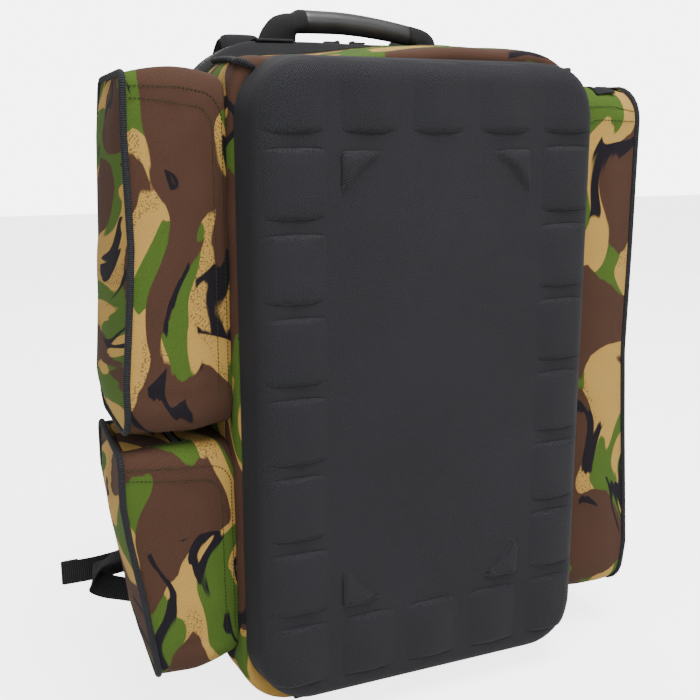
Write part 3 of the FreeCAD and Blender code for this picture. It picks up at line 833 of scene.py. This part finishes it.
def make_body():
    """Printed wall, black band behind it, the fixed strip below the door and the seam's stitches."""
    stations = [(FRONT_Y + 1.4, 27.0), (FRONT_Y + 0.6, 16.0), (FRONT_Y - 0.8, 11.0), (FRONT_Y - 1.6, 6.5),
                (FRONT_Y - 0.6, 2.6), (FRONT_Y + 2.6, 0.4), (FRONT_Y + 8.0, -0.6)]
    stations += [(float(y), -0.6) for y in np.linspace(FRONT_Y + 16, BAND_Y, 12)]
    shell = body_sheet("printed_body_wall", stations, 1.0, 2.2, 1.4)
    finish_piece(shell, "bag", "camouflage_cloth", CAMO["body"], "body_shell")
    band = body_sheet("black_zip_band", [(float(y), 0.3) for y in np.linspace(BAND_Y - 1.0, TAPE_Y + 0.5, 8)],
                      2.0, BAND_PUFF, 0.8)
    finish_piece(band, "bag", "black_cloth", BLACK_CLOTH, "zip_gusset")
    low_points = [(p[0], p[2]) for p in body_ring_points(TAPE_Y + 1, 0.5, 160) if p[2] < KICK_TOP]
    low_points.sort(key=lambda p: p[0])
    rows = []
    for k in range(9):
        y = TAPE_Y + 1.6 + 0.8 * math.sin(math.pi * k / 8)
        rows.append([(x, y, z + (KICK_TOP - z) * k / 8) for x, z in low_points])
    kick = thicken(skin("kick_strip", rows), 2.4, 0.0)
    finish_piece(kick, "bag", "black_cloth", BLACK_CLOTH, "kick_panel")
    seam = [(x, z) for x, _, z, _, _ in body_ring_points(BAND_Y - 4, -STITCH_LIFT, 260) if z > 120]
    for y, tag in ((BAND_Y - 4.0, "a"), (BAND_Y - 11.0, "b")):
        path = [(x, y, z - (top_sag(x, y) if z > 500 else 0.0)) for x, z in seam]
        finish_piece(thread("band_seam_stitches_" + tag, path, (0, 0, 1)), "bag", "camouflage_cloth",
                     GREEN_THREAD)


def corner_cords():
    """Covered cords over the top corners."""
    steps = 12
    for word, side in SIDES:
        path = []
        for k in range(steps + 1):
            y = FRONT_Y + 2 + (BAND_Y - FRONT_Y - 2) * k / steps
            lean = 0.66 + 0.10 * (1 - k / steps) ** 2
            spot = min(body_ring_points(y, -3.6, 720),
                       key=lambda p: abs(p[3] - side * lean) + (10 if p[4] < 0 else 0))
            path.append((spot[0], y, spot[2] - top_sag(spot[0], y)))
        x, y, z = path[0]
        path = [(x - side * 11.0, y - 4.6, z - 5.0), (x - side * 4.0, y - 3.8, z - 1.6)] + path
        nodes = ("corner_piping",) if side < 0 else ()
        finish_piece(tube(word + "_corner_cord", path, 2.7), "bag", "piping", PIPING, *nodes)


# ---- long zip -----------------------------------------------------------------------------
def zip_teeth(name, body, spots, size):
    """Separate teeth, each a small rounded block at (point, outward, along)."""
    verts = []
    faces = []
    long, wide, tall = size
    for point, out, along in spots:
        point = Vector(point)
        out = Vector(out).normalized()
        along = Vector(along).normalized()
        side = out.cross(along).normalized()
        faces += block_faces(len(verts), 4, 3)
        for level, shrink in ((0.0, 1.0), (tall * 0.7, 1.0), (tall, 0.55)):
            for a, b in ((-1, -1), (1, -1), (1, 1), (-1, 1)):
                verts.append(point + out * level + side * (a * long / 2 * shrink)
                             + along * (b * wide / 2 * shrink))
    finish_piece(new_piece(name, verts, faces), body, "zip_tape", COIL)


def make_long_zip():
    """Teeth on both tapes of the long zip; the tapes and sliders are the frame's own."""
    pitch = 2.3
    for tag, body, y, travelled in (("front", "bag", SPLIT_Y - 1.9, 0.0),
                                    ("back", "back_door", SPLIT_Y + 1.9, 1.1)):
        ring = body_ring_points(TAPE_Y, 0.3, 1800)
        path = [(Vector((p[0], y, p[2])), Vector((p[3], 0, p[4]))) for p in ring if p[2] > DOOR_LOW + 4]
        spots = []
        for (a, out), (b, _) in zip(path, path[1:]):
            step = (b - a).length
            if step > 40:        # the jump over the open bottom
                continue
            travelled += step
            if travelled >= pitch:
                travelled -= pitch
                if abs(a.x) >= 16 or a.z <= REAR_TOP - 5:        # none between the two sliders
                    spots.append((a, out, b - a))
        zip_teeth("long_zip_teeth_" + tag, body, spots, (3.2, 1.5, 1.5))


# ---- side pockets -------------------------------------------------------------------------
POCKET_SPAN = 84.0           # from the seam on the bag to the cord
CORD_REACH = {               # how far out the front cord stands: (share of height, x)
    "left_upper": ((0.0, 253.6), (0.15, 253.6), (0.27, 250.6), (0.4, 247.4), (0.54, 244.6), (0.7, 245.6),
                   (0.85, 246.6), (1.0, 245.6)),
    "left_lower": ((0.0, 236.0), (0.2, 242.6), (0.39, 248.0), (0.66, 257.6), (0.8, 261.4), (1.0, 261.6)),
    "right": ((0.0, 246.0), (0.09, 251.6), (0.22, 246.6), (0.35, 241.6), (0.5, 236.6), (0.7, 238.0),
              (0.89, 238.4), (1.0, 239.0)),
}
REAR_LEAN = {                # how much further in the rear cord stands: (share of height, x)
    "left_upper": ((0.0, 4.0), (0.5, 0.0), (1.0, 8.0)),
    "left_lower": ((0.0, 8.0), (1.0, 8.0)),
    "right": ((0.0, 4.0), (1.0, 4.0)),
}
FACE_SWELL = {"left_upper": 11.0, "left_lower": 6.5, "right": 9.0}
BOTTOM_LIFT = {"left_upper": 0.0, "left_lower": 9.0, "right": 6.0}
OUTER_TOP_RADIUS = {"left_upper": 9.0, "left_lower": 9.0, "right": 30.0}
INNER_TOP_RADIUS = 25.0
POCKET_LOW_RADIUS = 22.0
CREST = {"left_upper": 4.5, "left_lower": 2.5, "right": 1.5}
POCKET_COUNT = 170


class Pocket:
    """Shape of one sewn side pocket: its outline, its bulge and the points on it."""

    def __init__(self, name, side, seed):
        self.name = name
        self.side = side
        self.seed = seed
        shell = name + "_pocket"
        self.low, self.top = lo(shell, 2), hi(shell, 2)
        self.y0, self.y1 = lo(shell, 1), hi(shell, 1)
        self.x_in = BODY_HALF + 0.4
        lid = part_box(name + "_pocket_lid")
        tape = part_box(name + "_inner_tape")
        self.lid_y0 = lid[0][1] / MM - 0.6
        self.lid_y1 = lid[1][1] / MM + 0.6
        self.lid_in = min(abs(lid[0][0]), abs(lid[1][0])) / MM
        self.lid_out = max(abs(lid[0][0]), abs(lid[1][0])) / MM
        self.tape_in = min(abs(tape[0][0]), abs(tape[1][0])) / MM

    def lean(self, y, z):
        """How much further out than the pocket's plain depth the cord stands."""
        share = (z - self.low) / (self.top - self.low)
        spots, reach = zip(*CORD_REACH[self.name])
        out = float(np.interp(share, spots, reach))
        back = (y - self.y0) / (self.y1 - self.y0)
        back_share, back_lean = zip(*REAR_LEAN[self.name])
        return out - self.x_in - POCKET_SPAN - float(np.interp(share, back_share, back_lean)) * back

    def x_at(self, share, y, z):
        """Distance of the band from the middle of the bag."""
        return self.x_in + POCKET_SPAN * share + self.lean(y, z) * float(smooth_step(share / 0.95))

    def top_radius(self, share):
        """Radius of the outline's upper corners."""
        return INNER_TOP_RADIUS + (OUTER_TOP_RADIUS[self.name] - INNER_TOP_RADIUS) * min(share * 1.15, 1.0)

    def ends(self, share):
        """Front, back and lowest position of the outline."""
        lift = BOTTOM_LIFT[self.name] * (1 - share)
        return self.y0 + 8.0 - 3.0 * share, self.y1 - 5.0 * share, self.low + lift + 1.0

    def outline(self, share):
        """Points round the pocket with their outward directions."""
        front, back, bottom = self.ends(share)
        return rounded_path(front, back, bottom, self.top, POCKET_LOW_RADIUS, self.top_radius(share),
                            POCKET_COUNT)

    def pushed(self, share, u, v, nu, nv):
        """Point of the bulged band for a point of the outline."""
        side = self.side
        swell = math.sin(math.pi * min(share * 1.02, 1.0)) ** 0.75
        front = max(-nu, 0.0)
        push = swell * (7.5 * front + 4.0 * max(nu, 0.0) + 0.8 * max(-nv, 0.0))
        if nv < 0.5:
            push += 1.5 * swell * ripple((side * 90 * share, u, v), 36.0, self.seed)
            deep = float(smooth_step((self.low + 80 - v) / 80.0))
            fold = ripple((share * 50, u * 0.5, v * 1.6), 15.0, self.seed + 5)
            push += 3.4 * deep * swell * fold * max(-nu, 0.25)
            high = float(smooth_step((v - self.top + 70) / 60.0))
            fold = ripple((share * 120, u * 0.5, v * 0.7), 20.0, self.seed + 3)
            push += 2.2 * high * swell * fold * front
        crest = CREST[self.name] * swell * max(nv, 0.0) ** 0.5 * float(smooth_step((-u - 20) / 40.0))
        y = u + nu * push
        z = v + nv * push + crest
        return side * self.x_at(share, u, v), y, z

    def front_point(self, share, z):
        """Point on the front of the band at a height."""
        front = self.ends(share)[0]
        radius = self.top_radius(share)
        centre = self.top - radius
        if z <= centre:
            return self.pushed(share, front, z, -1.0, 0.0)
        rise = min((z - centre) / radius, 1.0)
        flat = math.sqrt(1 - rise * rise)
        return self.pushed(share, front + radius * (1 - flat), z, -flat, rise)


def pocket_band(pocket):
    """Side band of the pocket, open along its top for the lid."""
    gap_in = (pocket.tape_in - pocket.x_in) / POCKET_SPAN
    gap_out = (pocket.lid_out + 0.6 - pocket.x_in) / POCKET_SPAN
    levels = sorted({0.0, 0.02, 0.06, 0.12, 0.2, 0.28, 0.35, gap_in, 0.5, 0.58, 0.66, 0.74, 0.82, 0.9,
                     gap_out, 1.0})
    rows = [[pocket.pushed(share, *spot) for spot in pocket.outline(share)] for share in levels]
    edge_in = levels.index(gap_in)
    edge_out = levels.index(gap_out)
    line = pocket.outline(0.7)

    def solid_cell(i, j):
        """False in the part of the top that the zip and the lid fill."""
        near = line[j]
        far = line[(j + 1) % POCKET_COUNT]
        middle = (near[0] + far[0]) / 2
        in_gap = edge_in <= i < edge_out and near[3] > 0.4 and pocket.lid_y0 < middle < pocket.lid_y1
        return not in_gap

    band = skin(pocket.name + "_side_band", rows, wrap=True, keep=solid_cell, uv_shift=(pocket.seed, 0.1))
    thicken(band, 1.8, pocket.side, 1)
    finish_piece(band, "bag", "camouflage_cloth", CAMO[pocket.name], pocket.name + "_pocket")


def pocket_face(pocket):
    """Bulged outer face, sewn in all round at the cord."""
    low = pocket.low
    top = pocket.top
    mid_y = (pocket.y0 + pocket.y1) / 2 + 4.0
    half_wide = (pocket.y1 - pocket.y0) / 2
    rings = 14
    rows = []
    for k in range(rings + 1):
        s = k / rings
        row = []
        for u, v, _, _ in pocket.outline(1.0):
            centre_z = min(max(v, low + half_wide * 0.8), top - half_wide * 0.8)
            y = u + (mid_y - u) * s
            z = v + (centre_z - v) * s
            dome = FACE_SWELL[pocket.name] * (1 - (1 - s) ** 2)
            dome *= 1.0 - 0.5 * float(smooth_step((z - low) / (top - low) * 2.5 - 1.5))
            dome += 2.2 * ripple((300, y, z * 0.6), 34.0, pocket.seed + 2) * math.sin(math.pi * min(s * 1.3, 1))
            row.append((pocket.side * (pocket.x_at(1.0, y, z) + dome), y, z))
        rows.append(row)
    face = skin(pocket.name + "_outer_face", rows, wrap=True)
    weld(face, 0.0006)
    layer = face.data.uv_layers["cloth"].data
    for loop in face.data.loops:
        place = face.data.vertices[loop.vertex_index].co
        layer[loop.index].uv = (place.y + pocket.seed, place.z)
    thicken(face, 1.8, pocket.side, 1)
    finish_piece(face, "bag", "camouflage_cloth", CAMO[pocket.name])


def pocket_stitches(pocket):
    """Two rows of stitching along the front's top hem, round its corner and down the seam on the bag."""
    corner = 18.0
    for tag, drop, inset in (("a", 4.0, 3.5), ("b", 13.0, 12.5)):
        path = []
        for k in range(31):
            share = 0.97 - (0.97 - (inset + corner) / POCKET_SPAN) * k / 30
            path.append((share, pocket.top - pocket.top_radius(share) * 0.55 - drop))
        start = path[-1]
        for k in range(1, 9):
            angle = math.pi / 2 * k / 8
            path.append((start[0] - corner / POCKET_SPAN * math.sin(angle),
                         start[1] - corner * (1 - math.cos(angle))))
        low_end = pocket.low + BOTTOM_LIFT[pocket.name] + POCKET_LOW_RADIUS
        share, z = path[-1]
        count = int((z - low_end) / 5)
        for k in range(1, count):
            path.append((share, z + (low_end - z) * k / count))
        points = []
        for share, z in path:
            x, y, zz = pocket.front_point(share, z)
            points.append((x, y - STITCH_LIFT, zz))
        stitches = thread(pocket.name + "_front_stitches_" + tag, points, (0, -1, 0.2))
        finish_piece(stitches, "bag", "camouflage_cloth", GREEN_THREAD)


def pocket_cord(pocket):
    """Covered cord round the edge of the outer face."""
    out = 1.4
    path = [(pocket.side * (pocket.x_at(1.0, u, v) + out), u + nu * out, v + nv * out)
            for u, v, nu, nv in pocket.outline(1.0)]
    cord = tube(pocket.name + "_edge_cord", path, 2.9, closed=True)
    finish_piece(cord, "bag", "piping", PIPING, pocket.name + "_pocket_piping")


def pocket_lid(pocket):
    """Cloth of the lid, from the zip to the hinge along the cord."""
    deep = pocket.lid_y1 - pocket.lid_y0

    def point(share, along):
        y = pocket.lid_y0 + 0.8 + (deep - 1.6) * along
        x = pocket.lid_in - 1.5 + (pocket.lid_out + 2.1 + pocket.lean(y, pocket.top) - pocket.lid_in) * share
        lift = 0.5 + 1.4 * math.sin(math.pi * share) + 0.5 * ripple((x, y, 0), 18, pocket.seed)
        return pocket.side * x, y, pocket.top + lift

    cloth = skin(pocket.name + "_lid_cloth", grid(8, 20, point), uv_shift=(pocket.seed, 0.9))
    thicken(cloth, 1.6, -pocket.side, 1)
    finish_piece(cloth, None, "camouflage_cloth", CAMO[pocket.name], pocket.name + "_pocket_lid")
    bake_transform(cloth)
    path = [(pocket.side * (pocket.lid_in + 1.2), pocket.lid_y0 + 2 + (deep - 4) * k / 20, pocket.top + 1.6)
            for k in range(21)]
    stitches = thread(pocket.name + "_lid_stitches", path, (0, 0, 1))
    finish_piece(stitches, pocket.name + "_lid", "camouflage_cloth", GREEN_THREAD)


def pocket_zip(pocket):
    """Teeth on both zip tapes and the puckered tab that ends them at the front."""
    zip_x = (pocket.tape_in + pocket.lid_in) / 2
    for tag, body, shift in (("inner", "bag", -1.5), ("outer", pocket.name + "_lid", 1.5)):
        spots = []
        y = pocket.lid_y0 + 1.5
        while y < pocket.lid_y1 - 1.5:
            spots.append(((pocket.side * (zip_x + shift), y, pocket.top - 0.5), (0, 0, 1), (0, 1, 0)))
            y += 1.9
        zip_teeth(pocket.name + "_teeth_" + tag, body, spots, (2.3, 1.2, 1.0))

    def point(share, place):
        y = pocket.lid_y0 - 1.0 - 17.0 * share
        rise = 3.0 * math.sin(math.pi * min(share * 1.1, 1.0)) + 0.8 * (1 - share) + 0.8
        across = (place - 0.5) * (26.0 - 5.0 * share)
        pucker = 1.6 * ripple((across * 1.6, y * 1.6, 0), 9.0, pocket.seed + 9)
        height = pocket.top + 0.9 + pucker - 5.0 * share * share + rise * CREST[pocket.name] / 4.5
        return pocket.side * (zip_x - 4 + across), y, height

    tab = thicken(skin(pocket.name + "_end_tab", grid(12, 12, point)), 1.6, 0.0, 1)
    finish_piece(tab, "bag", "black_cloth", BLACK_CLOTH)


def make_pocket(name, side, seed):
    """One side pocket with all its sewn pieces."""
    pocket = Pocket(name, side, seed)
    pocket_band(pocket)
    pocket_face(pocket)
    pocket_stitches(pocket)
    pocket_cord(pocket)
    pocket_lid(pocket)
    pocket_zip(pocket)


# ---- carrying handle ----------------------------------------------------------------------
CUFF_OUTER = {               # outer outline of each cuff, foot to grip: (x, z)
    "left": ((-97.0, 584.0), (-95.0, 593.0), (-90.0, 603.0), (-81.0, 612.5), (-70.0, 616.4), (-63.0, 617.2),
             (-57.0, 620.2), (-50.5, 620.8)),
    "right": ((91.0, 584.0), (89.5, 594.0), (86.0, 600.5), (80.0, 605.0), (73.0, 607.6), (66.0, 609.2),
              (62.0, 610.0), (59.0, 610.4)),
}
CUFF_INNER = {
    "left": ((-58.0, 584.0), (-58.0, 589.0), (-58.0, 593.0), (-58.0, 596.0), (-57.5, 598.0), (-56.0, 599.0),
             (-52.0, 599.2), (-48.5, 599.2)),
    "right": ((62.0, 584.0), (62.0, 585.5), (62.0, 587.0), (62.0, 588.5), (61.5, 590.0), (61.0, 591.0),
              (60.0, 591.6), (58.0, 591.6)),
}


GRIP_DROOP = 9.5
DROOP_START = -20.0
DROOP_LENGTH = 83.0
FOOT_X = 82.0
PATCH_LONG = 36.0
PATCH_WIDE = 24.0
CUFF_STEPS = 28


def grip_middle(x):
    """Height of the middle of the grip; its right end hangs lower."""
    return GRIP_Z + 2.0 - GRIP_DROOP * max(x - DROOP_START, 0.0) ** 1.6 / DROOP_LENGTH ** 1.6


def make_grip():
    """Rubber tube with the webbing in it."""
    left = lo("handle_grip", 0)
    right = hi("handle_grip", 0)
    rows = []
    for k in range(33):
        share = k / 32
        x = left + (right - left) * share
        end = min(share, 1 - share) * 32
        radius = (GRIP_R + 0.4 - 1.4 * share) * (0.9 + 0.1 * float(smooth_step(end / 1.2)))
        rows.append([(x, HANDLE_Y + math.cos(angle) * radius * 0.96, grip_middle(x) + math.sin(angle) * radius)
                     for angle in around(28)])
    ends = []
    for x, row in ((left, rows[0]), (right, rows[-1])):
        middle = grip_middle(x)
        ends.append([(x, HANDLE_Y + (p[1] - HANDLE_Y) * 0.75, middle + (p[2] - middle) * 0.75) for p in row])
    rows = [ends[0]] + rows[:-1] + [ends[1], rows[-1]]
    grip = skin("grip_tube", rows, wrap=True)
    finish_piece(grip, "handle", "grip_rubber", RUBBER, "handle_grip")
    core_line = [(x, HANDLE_Y, grip_middle(x)) for x in np.linspace(left + 1, right - 1, 9)]
    core = flat_web("grip_core_webbing", core_line, ((0, 1, 0),) * 9, 11.0, 6.0, 30)
    finish_piece(core, "handle", "webbing", WEBBING, "handle_core")


def make_cuff(word):
    """Twill cuff that bends at its foot."""
    outer = curve_through([(x, HANDLE_Y, z) for x, z in CUFF_OUTER[word]], CUFF_STEPS)
    inner = curve_through([(x, HANDLE_Y, z) for x, z in CUFF_INNER[word]], CUFF_STEPS)
    rows = []
    for k, (far, near) in enumerate(zip(outer, inner)):
        t = k / 27
        thick = 4.5 + 6.0 * float(smooth_step(t * 1.2))
        row = []
        for angle in around(24):
            fold = 1.0 + 0.12 * math.sin(3 * angle + 3.0 * t) * math.sin(math.pi * t)
            row.append((far + near) / 2 + (far - near) * (0.5 * rounder(math.cos(angle), 0.8))
                       + Vector((0, math.sin(angle) * thick * fold, 0)))
        rows.append(row)
    close_ends(rows, (outer[0] + inner[0]) / 2, (outer[-1] + inner[-1]) / 2, 0.1)
    cuff = skin(word + "_folded_cuff", rows, wrap=True)
    finish_piece(cuff, None, "webbing", TWILL, word + "_handle_cuff")
    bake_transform(cuff)


def make_patch(word, side):
    """Square of twill sewn on the bag's top over the cuff's foot."""
    def point(down, across):
        x = side * FOOT_X - PATCH_LONG / 2 + PATCH_LONG * across
        y = HANDLE_Y - PATCH_WIDE / 2 + PATCH_WIDE * down
        return x, y, surface_z(x, y) + 1.2

    patch = thicken(skin(word + "_sewn_patch", grid(8, 12, point)), 1.6, 0.0)
    nodes = ("handle_feet",) if side < 0 else ()
    finish_piece(patch, "bag", "black_cloth", TWILL, *nodes)


def make_handle():
    """Grip, cuffs and sewn patches."""
    make_grip()
    for word, side in SIDES:
        make_cuff(word)
        make_patch(word, side)


def surface_z(x, y):
    """Height of the bag's top at a place."""
    top, radius = top_at(y)
    top -= top_sag(x, y)
    if y > BAND_Y:
        top += BAND_PUFF * math.sin(math.pi * min((y - BAND_Y) / (TAPE_Y - BAND_Y), 1.0))
    over = abs(x) - (BODY_HALF - radius)
    if over <= 0:
        return top
    return top - radius + math.sqrt(max(radius * radius - over * over, 0.0))


# ---- back door and harness ----------------------------------------------------------------
PAD_THICK = 11.5


def puff_pad(name, x0, x1, z0, z1, node_name, channels=()):
    """Foam pad on the door with a sewn edge and pressed channels."""
    long = x1 - x0
    tall = z1 - z0

    def point(v, u):
        x = x0 + long * u
        z = z0 + tall * v
        edge_mm = min(u * long, (1 - u) * long, v * tall, (1 - v) * tall)
        rise = PAD_THICK * float(smooth_step(edge_mm / 15.0)) ** 0.6
        for line in channels:
            rise *= 1 - 0.7 * math.exp(-((v - line) * tall / 5.0) ** 2)
        rise += 0.7 * ripple((x, 0, z), 26, 3.0)
        return x, BACK_Y + 0.4 + max(rise, 0.3), z

    pad = thicken(skin(name, grid(64, 40, point)), 1.6, -1.0, 1)
    finish_piece(pad, "back_door", "pad_cloth", MESH, node_name)


def make_back_door():
    """Black door tray with pads, and the strip it folds on."""
    stations = [(float(y), 0.0) for y in np.linspace(SPLIT_Y + 5.2, BACK_Y - 8, 5)]
    stations += [(BACK_Y - 4.0, 1.2), (BACK_Y - 1.4, 4.0), (BACK_Y - 0.4, 9.0)]
    stations += [(BACK_Y - 0.3, float(inset)) for inset in (20, 35, 50, 70, 95, 120, 145, 160, BODY_HALF - 0.2)]
    mid = (DOOR_LOW + REAR_TOP) / 2
    half = (REAR_TOP - DOOR_LOW) / 2
    rows = []
    for y, inset in stations:
        row = []
        for u, v, _, _ in rounded_path(-BODY_HALF, BODY_HALF, DOOR_LOW, REAR_TOP, 6.0, REAR_RADIUS, 200):
            x = u * max(BODY_HALF - inset, 0.5) / BODY_HALF
            z = mid + (v - mid) * (half - inset) / half
            row.append((x, y + 0.5 * ripple((x, y, z), 40, 8.0) * (1 if inset > 9 else 0), z))
        rows.append(row)
    door = skin("door_cloth", rows, wrap=True)
    weld(door, 0.0008)
    thicken(door, 2.2, 1.0)
    finish_piece(door, "back_door", "black_cloth", BLACK_CLOTH, "back_door")
    for word, side in SIDES:
        x0, x1 = sorted((side * 16.0, side * 128.0))
        puff_pad(word + "_mesh_back_pad", x0, x1, 232, 540, word + "_back_pad", (0.34, 0.67))
    puff_pad("mesh_lumbar_pad", -120, 120, 104, 214, "lumbar_pad")

    def point(down, across):
        return (-BODY_HALF + 4 + (2 * BODY_HALF - 8) * across, TAPE_Y + 4.0 + 2.6 * math.sin(math.pi * down),
                KICK_TOP - 6 + (DOOR_LOW + 8 - KICK_TOP + 6) * down)

    fold = thicken(skin("door_fold_strip", grid(8, 30, point)), 1.2, 0.0)
    finish_piece(fold, None, "black_cloth", BLACK_CLOTH)
    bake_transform(fold)


STRAP_LINE = (
    (98, 133.6, 571), (102, 139, 540), (112, 143.5, 490), (128, 145, 430), (147, 144, 365),
    (166, 139.5, 300), (182, 132, 240), (193, 123, 190), (200, 114, 150))


def curve_through(points, count):
    """Smooth line through points."""
    points = [Vector(p) for p in points]
    out = []
    last = len(points) - 1
    for k in range(count + 1):
        at = last * k / count
        i = min(int(at), last - 1)
        t = at - i
        p0 = points[max(i - 1, 0)]
        p1 = points[i]
        p2 = points[i + 1]
        p3 = points[min(i + 2, last)]
        out.append(0.5 * ((2 * p1) + (p2 - p0) * t + (2 * p0 - 5 * p1 + 4 * p2 - p3) * t * t
                          + (3 * p1 - p0 - 3 * p2 + p3) * t * t * t))
    return out


def carried(name, line, widths, count, section):
    """Closed strip along a line; section(point, side, out) gives the points round it at one place."""
    points = curve_through(line, count)
    sides = curve_through(widths, count)
    rows = []
    for k, point in enumerate(points):
        along = (points[min(k + 1, count)] - points[max(k - 1, 0)]).normalized()
        side = (sides[k] - along * sides[k].dot(along)).normalized()
        rows.append(section(point, side, along.cross(side)))
    close_ends(rows, points[0], points[-1], 0.05)
    return skin(name, rows, wrap=True)


def pad_along(name, line, widths, wide, thick, count=60):
    """Flat padded strap with sewn edges along a line."""
    def section(point, side, out):
        row = []
        for angle in around(32):
            c = rounder(math.cos(angle), 0.6)
            s = rounder(math.sin(angle), 0.8)
            seam = 1 - 0.55 * float(smooth_step((abs(c) - 0.80) / 0.12))
            edge_point = point + side * (c * wide / 2)
            wave = 0.8 * ripple(edge_point, 24, 5.0)
            row.append(edge_point + out * (s * thick / 2 * seam + wave * 0.4))
        return row

    return carried(name, line, widths, count, section)


WEB_WIDE = 24.0
WEB_THICK = 1.8
WEB_SECTION = ((-1, -0.7), (-0.96, -1), (-0.5, -1), (0, -1), (0.5, -1), (0.96, -1), (1, -0.7),
               (1, 0.7), (0.96, 1), (0.5, 1), (0, 1), (-0.5, 1), (-0.96, 1), (-1, 0.7))


def flat_web(name, line, widths, wide, thick, count=60):
    """Webbing strip with square edges along a line."""
    def section(point, side, out):
        return [point + side * (a * wide / 2) + out * (b * thick / 2) for a, b in WEB_SECTION]

    return carried(name, line, widths, count, section)


def mirror_line(line, side):
    """Points or directions on their own side of the bag."""
    return [(side * x, y, z) for x, y, z in line]


def make_harness():
    """Shoulder straps with their sewn tops, webbing and lower webbing."""
    root_line = ((90, 110.3, 545), (90.5, 110.3, 580), (91, 113, 592), (91.5, 119, 597), (92, 126, 594.5),
                 (94, 132, 584), (98, 135, 566))
    lower_line = ((209, 91, 110), (213, 82, 107), (228, 79, 104), (243, 80, 100), (256, 82, 94), (265, 85, 86),
                  (264, 87, 76), (253, 87, 68), (234, 86, 61), (207, 82, 52), (182, 77.5, 43), (159, 74.2, 35),
                  (132, 73.4, 30))
    lower_wide = ((0.9, 0.3, 0), (0.3, 1, 0), (0, 1, 0), (0.1, 1, 0), (-0.1, 1, -0.2), (-0.3, 0.8, 0.5),
                  (0.1, 0.3, 1), (0.1, 0.1, 1), (0.1, 0, 1), (0.1, 0, 1), (0, 0, 1), (0, 0, 1), (0, 0, 1))
    tail_line = ((216, 100.2, 92), (225, 100.6, 87.5), (240, 102.5, 84.5), (262, 105.5, 81), (292, 107, 80))
    tail_wide = ((0.3, 0, 1), (0.1, 0, 1), (0.1, 0, 1), (0.05, 0, 1), (0, 0, 1))
    hem_line = ((292, 107, 80), (291, 109.4, 80), (276, 108.6, 80.8))
    lift = 7.0
    web_line = [(x, y + lift, z) for x, y, z in STRAP_LINE[2:]] + [(202.8, 113.5, 132), (205.2, 108.5, 119)]
    for word, side in SIDES:
        across = [(1.0, 0.0, 0.25 * side)] * len(STRAP_LINE)
        pad = pad_along(word + "_padded_strap", mirror_line(STRAP_LINE, side), across, 64, 13)
        finish_piece(pad, word + "_strap", "pad_cloth", MESH, word + "_shoulder_pad")
        top = pad_along(word + "_strap_top_fold", mirror_line(root_line, side),
                        [(1.0, 0.0, 0.0)] * len(root_line), 42, 12, 40)
        finish_piece(top, None, "pad_cloth", BLACK_CLOTH, word + "_strap_root")
        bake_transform(top)
        web = flat_web(word + "_strap_webbing", mirror_line(web_line, side), across[:len(web_line)],
                       WEB_WIDE, WEB_THICK)
        finish_piece(web, word + "_strap", "webbing", WEBBING, word + "_pad_webbing")
        lower = flat_web(word + "_turned_webbing", mirror_line(lower_line, side), mirror_line(lower_wide, side),
                         WEB_WIDE, 1.7, 90)
        finish_piece(lower, None, "webbing", WEBBING, word + "_lower_webbing")
        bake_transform(lower)
        tail = flat_web(word + "_folded_tail", mirror_line(tail_line, side), mirror_line(tail_wide, side),
                        WEB_WIDE, WEB_THICK)
        hem = flat_web(word + "_tail_hem", mirror_line(hem_line, side), mirror_line(((0, 0, 1),) * 3, side),
                       23.4, 1.7, 14)
        finish_piece(tail, word + "_strap", "webbing", WEBBING, word + "_webbing_tail")
        finish_piece(hem, word + "_strap", "webbing", WEBBING)


# ---- materials of the frame's own solids --------------------------------------------------
def dress_frame():
    """Better materials for the solids that stay."""
    dress = {
        "base_sheet": COATED, "base_board": BOARD, "back_board": BOARD, "main_zip_front_tape": TAPE,
        "main_zip_back_tape": TAPE, "anchor_tabs": LINING}
    for word, _ in SIDES:
        dress[word + "_ladder_lock"] = ACETAL
        dress[word + "_d_ring"] = ACETAL
        dress[word + "_main_slider"] = PAINTED
        dress[word + "_main_pull"] = PAINTED
    for name, _ in POCKETS:
        dress[name + "_inner_tape"] = TAPE
        dress[name + "_outer_tape"] = TAPE
        dress[name + "_slider"] = PAINTED
        dress[name + "_pull"] = PAINTED
    for name, material in dress.items():
        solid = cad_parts[name]
        if not solid.material_slots:
            solid.data.materials.append(material)
        for spot in solid.material_slots:
            spot.material = material


make_camera()
make_studio()
make_moulded_panel()
make_body()
corner_cords()
make_long_zip()
for index, (pocket, pocket_side) in enumerate(POCKETS):
    make_pocket(pocket, pocket_side, 1.7 + 2.3 * index)
make_handle()
make_back_door()
make_harness()
dress_frame()

bpy.context.view_layer.update()
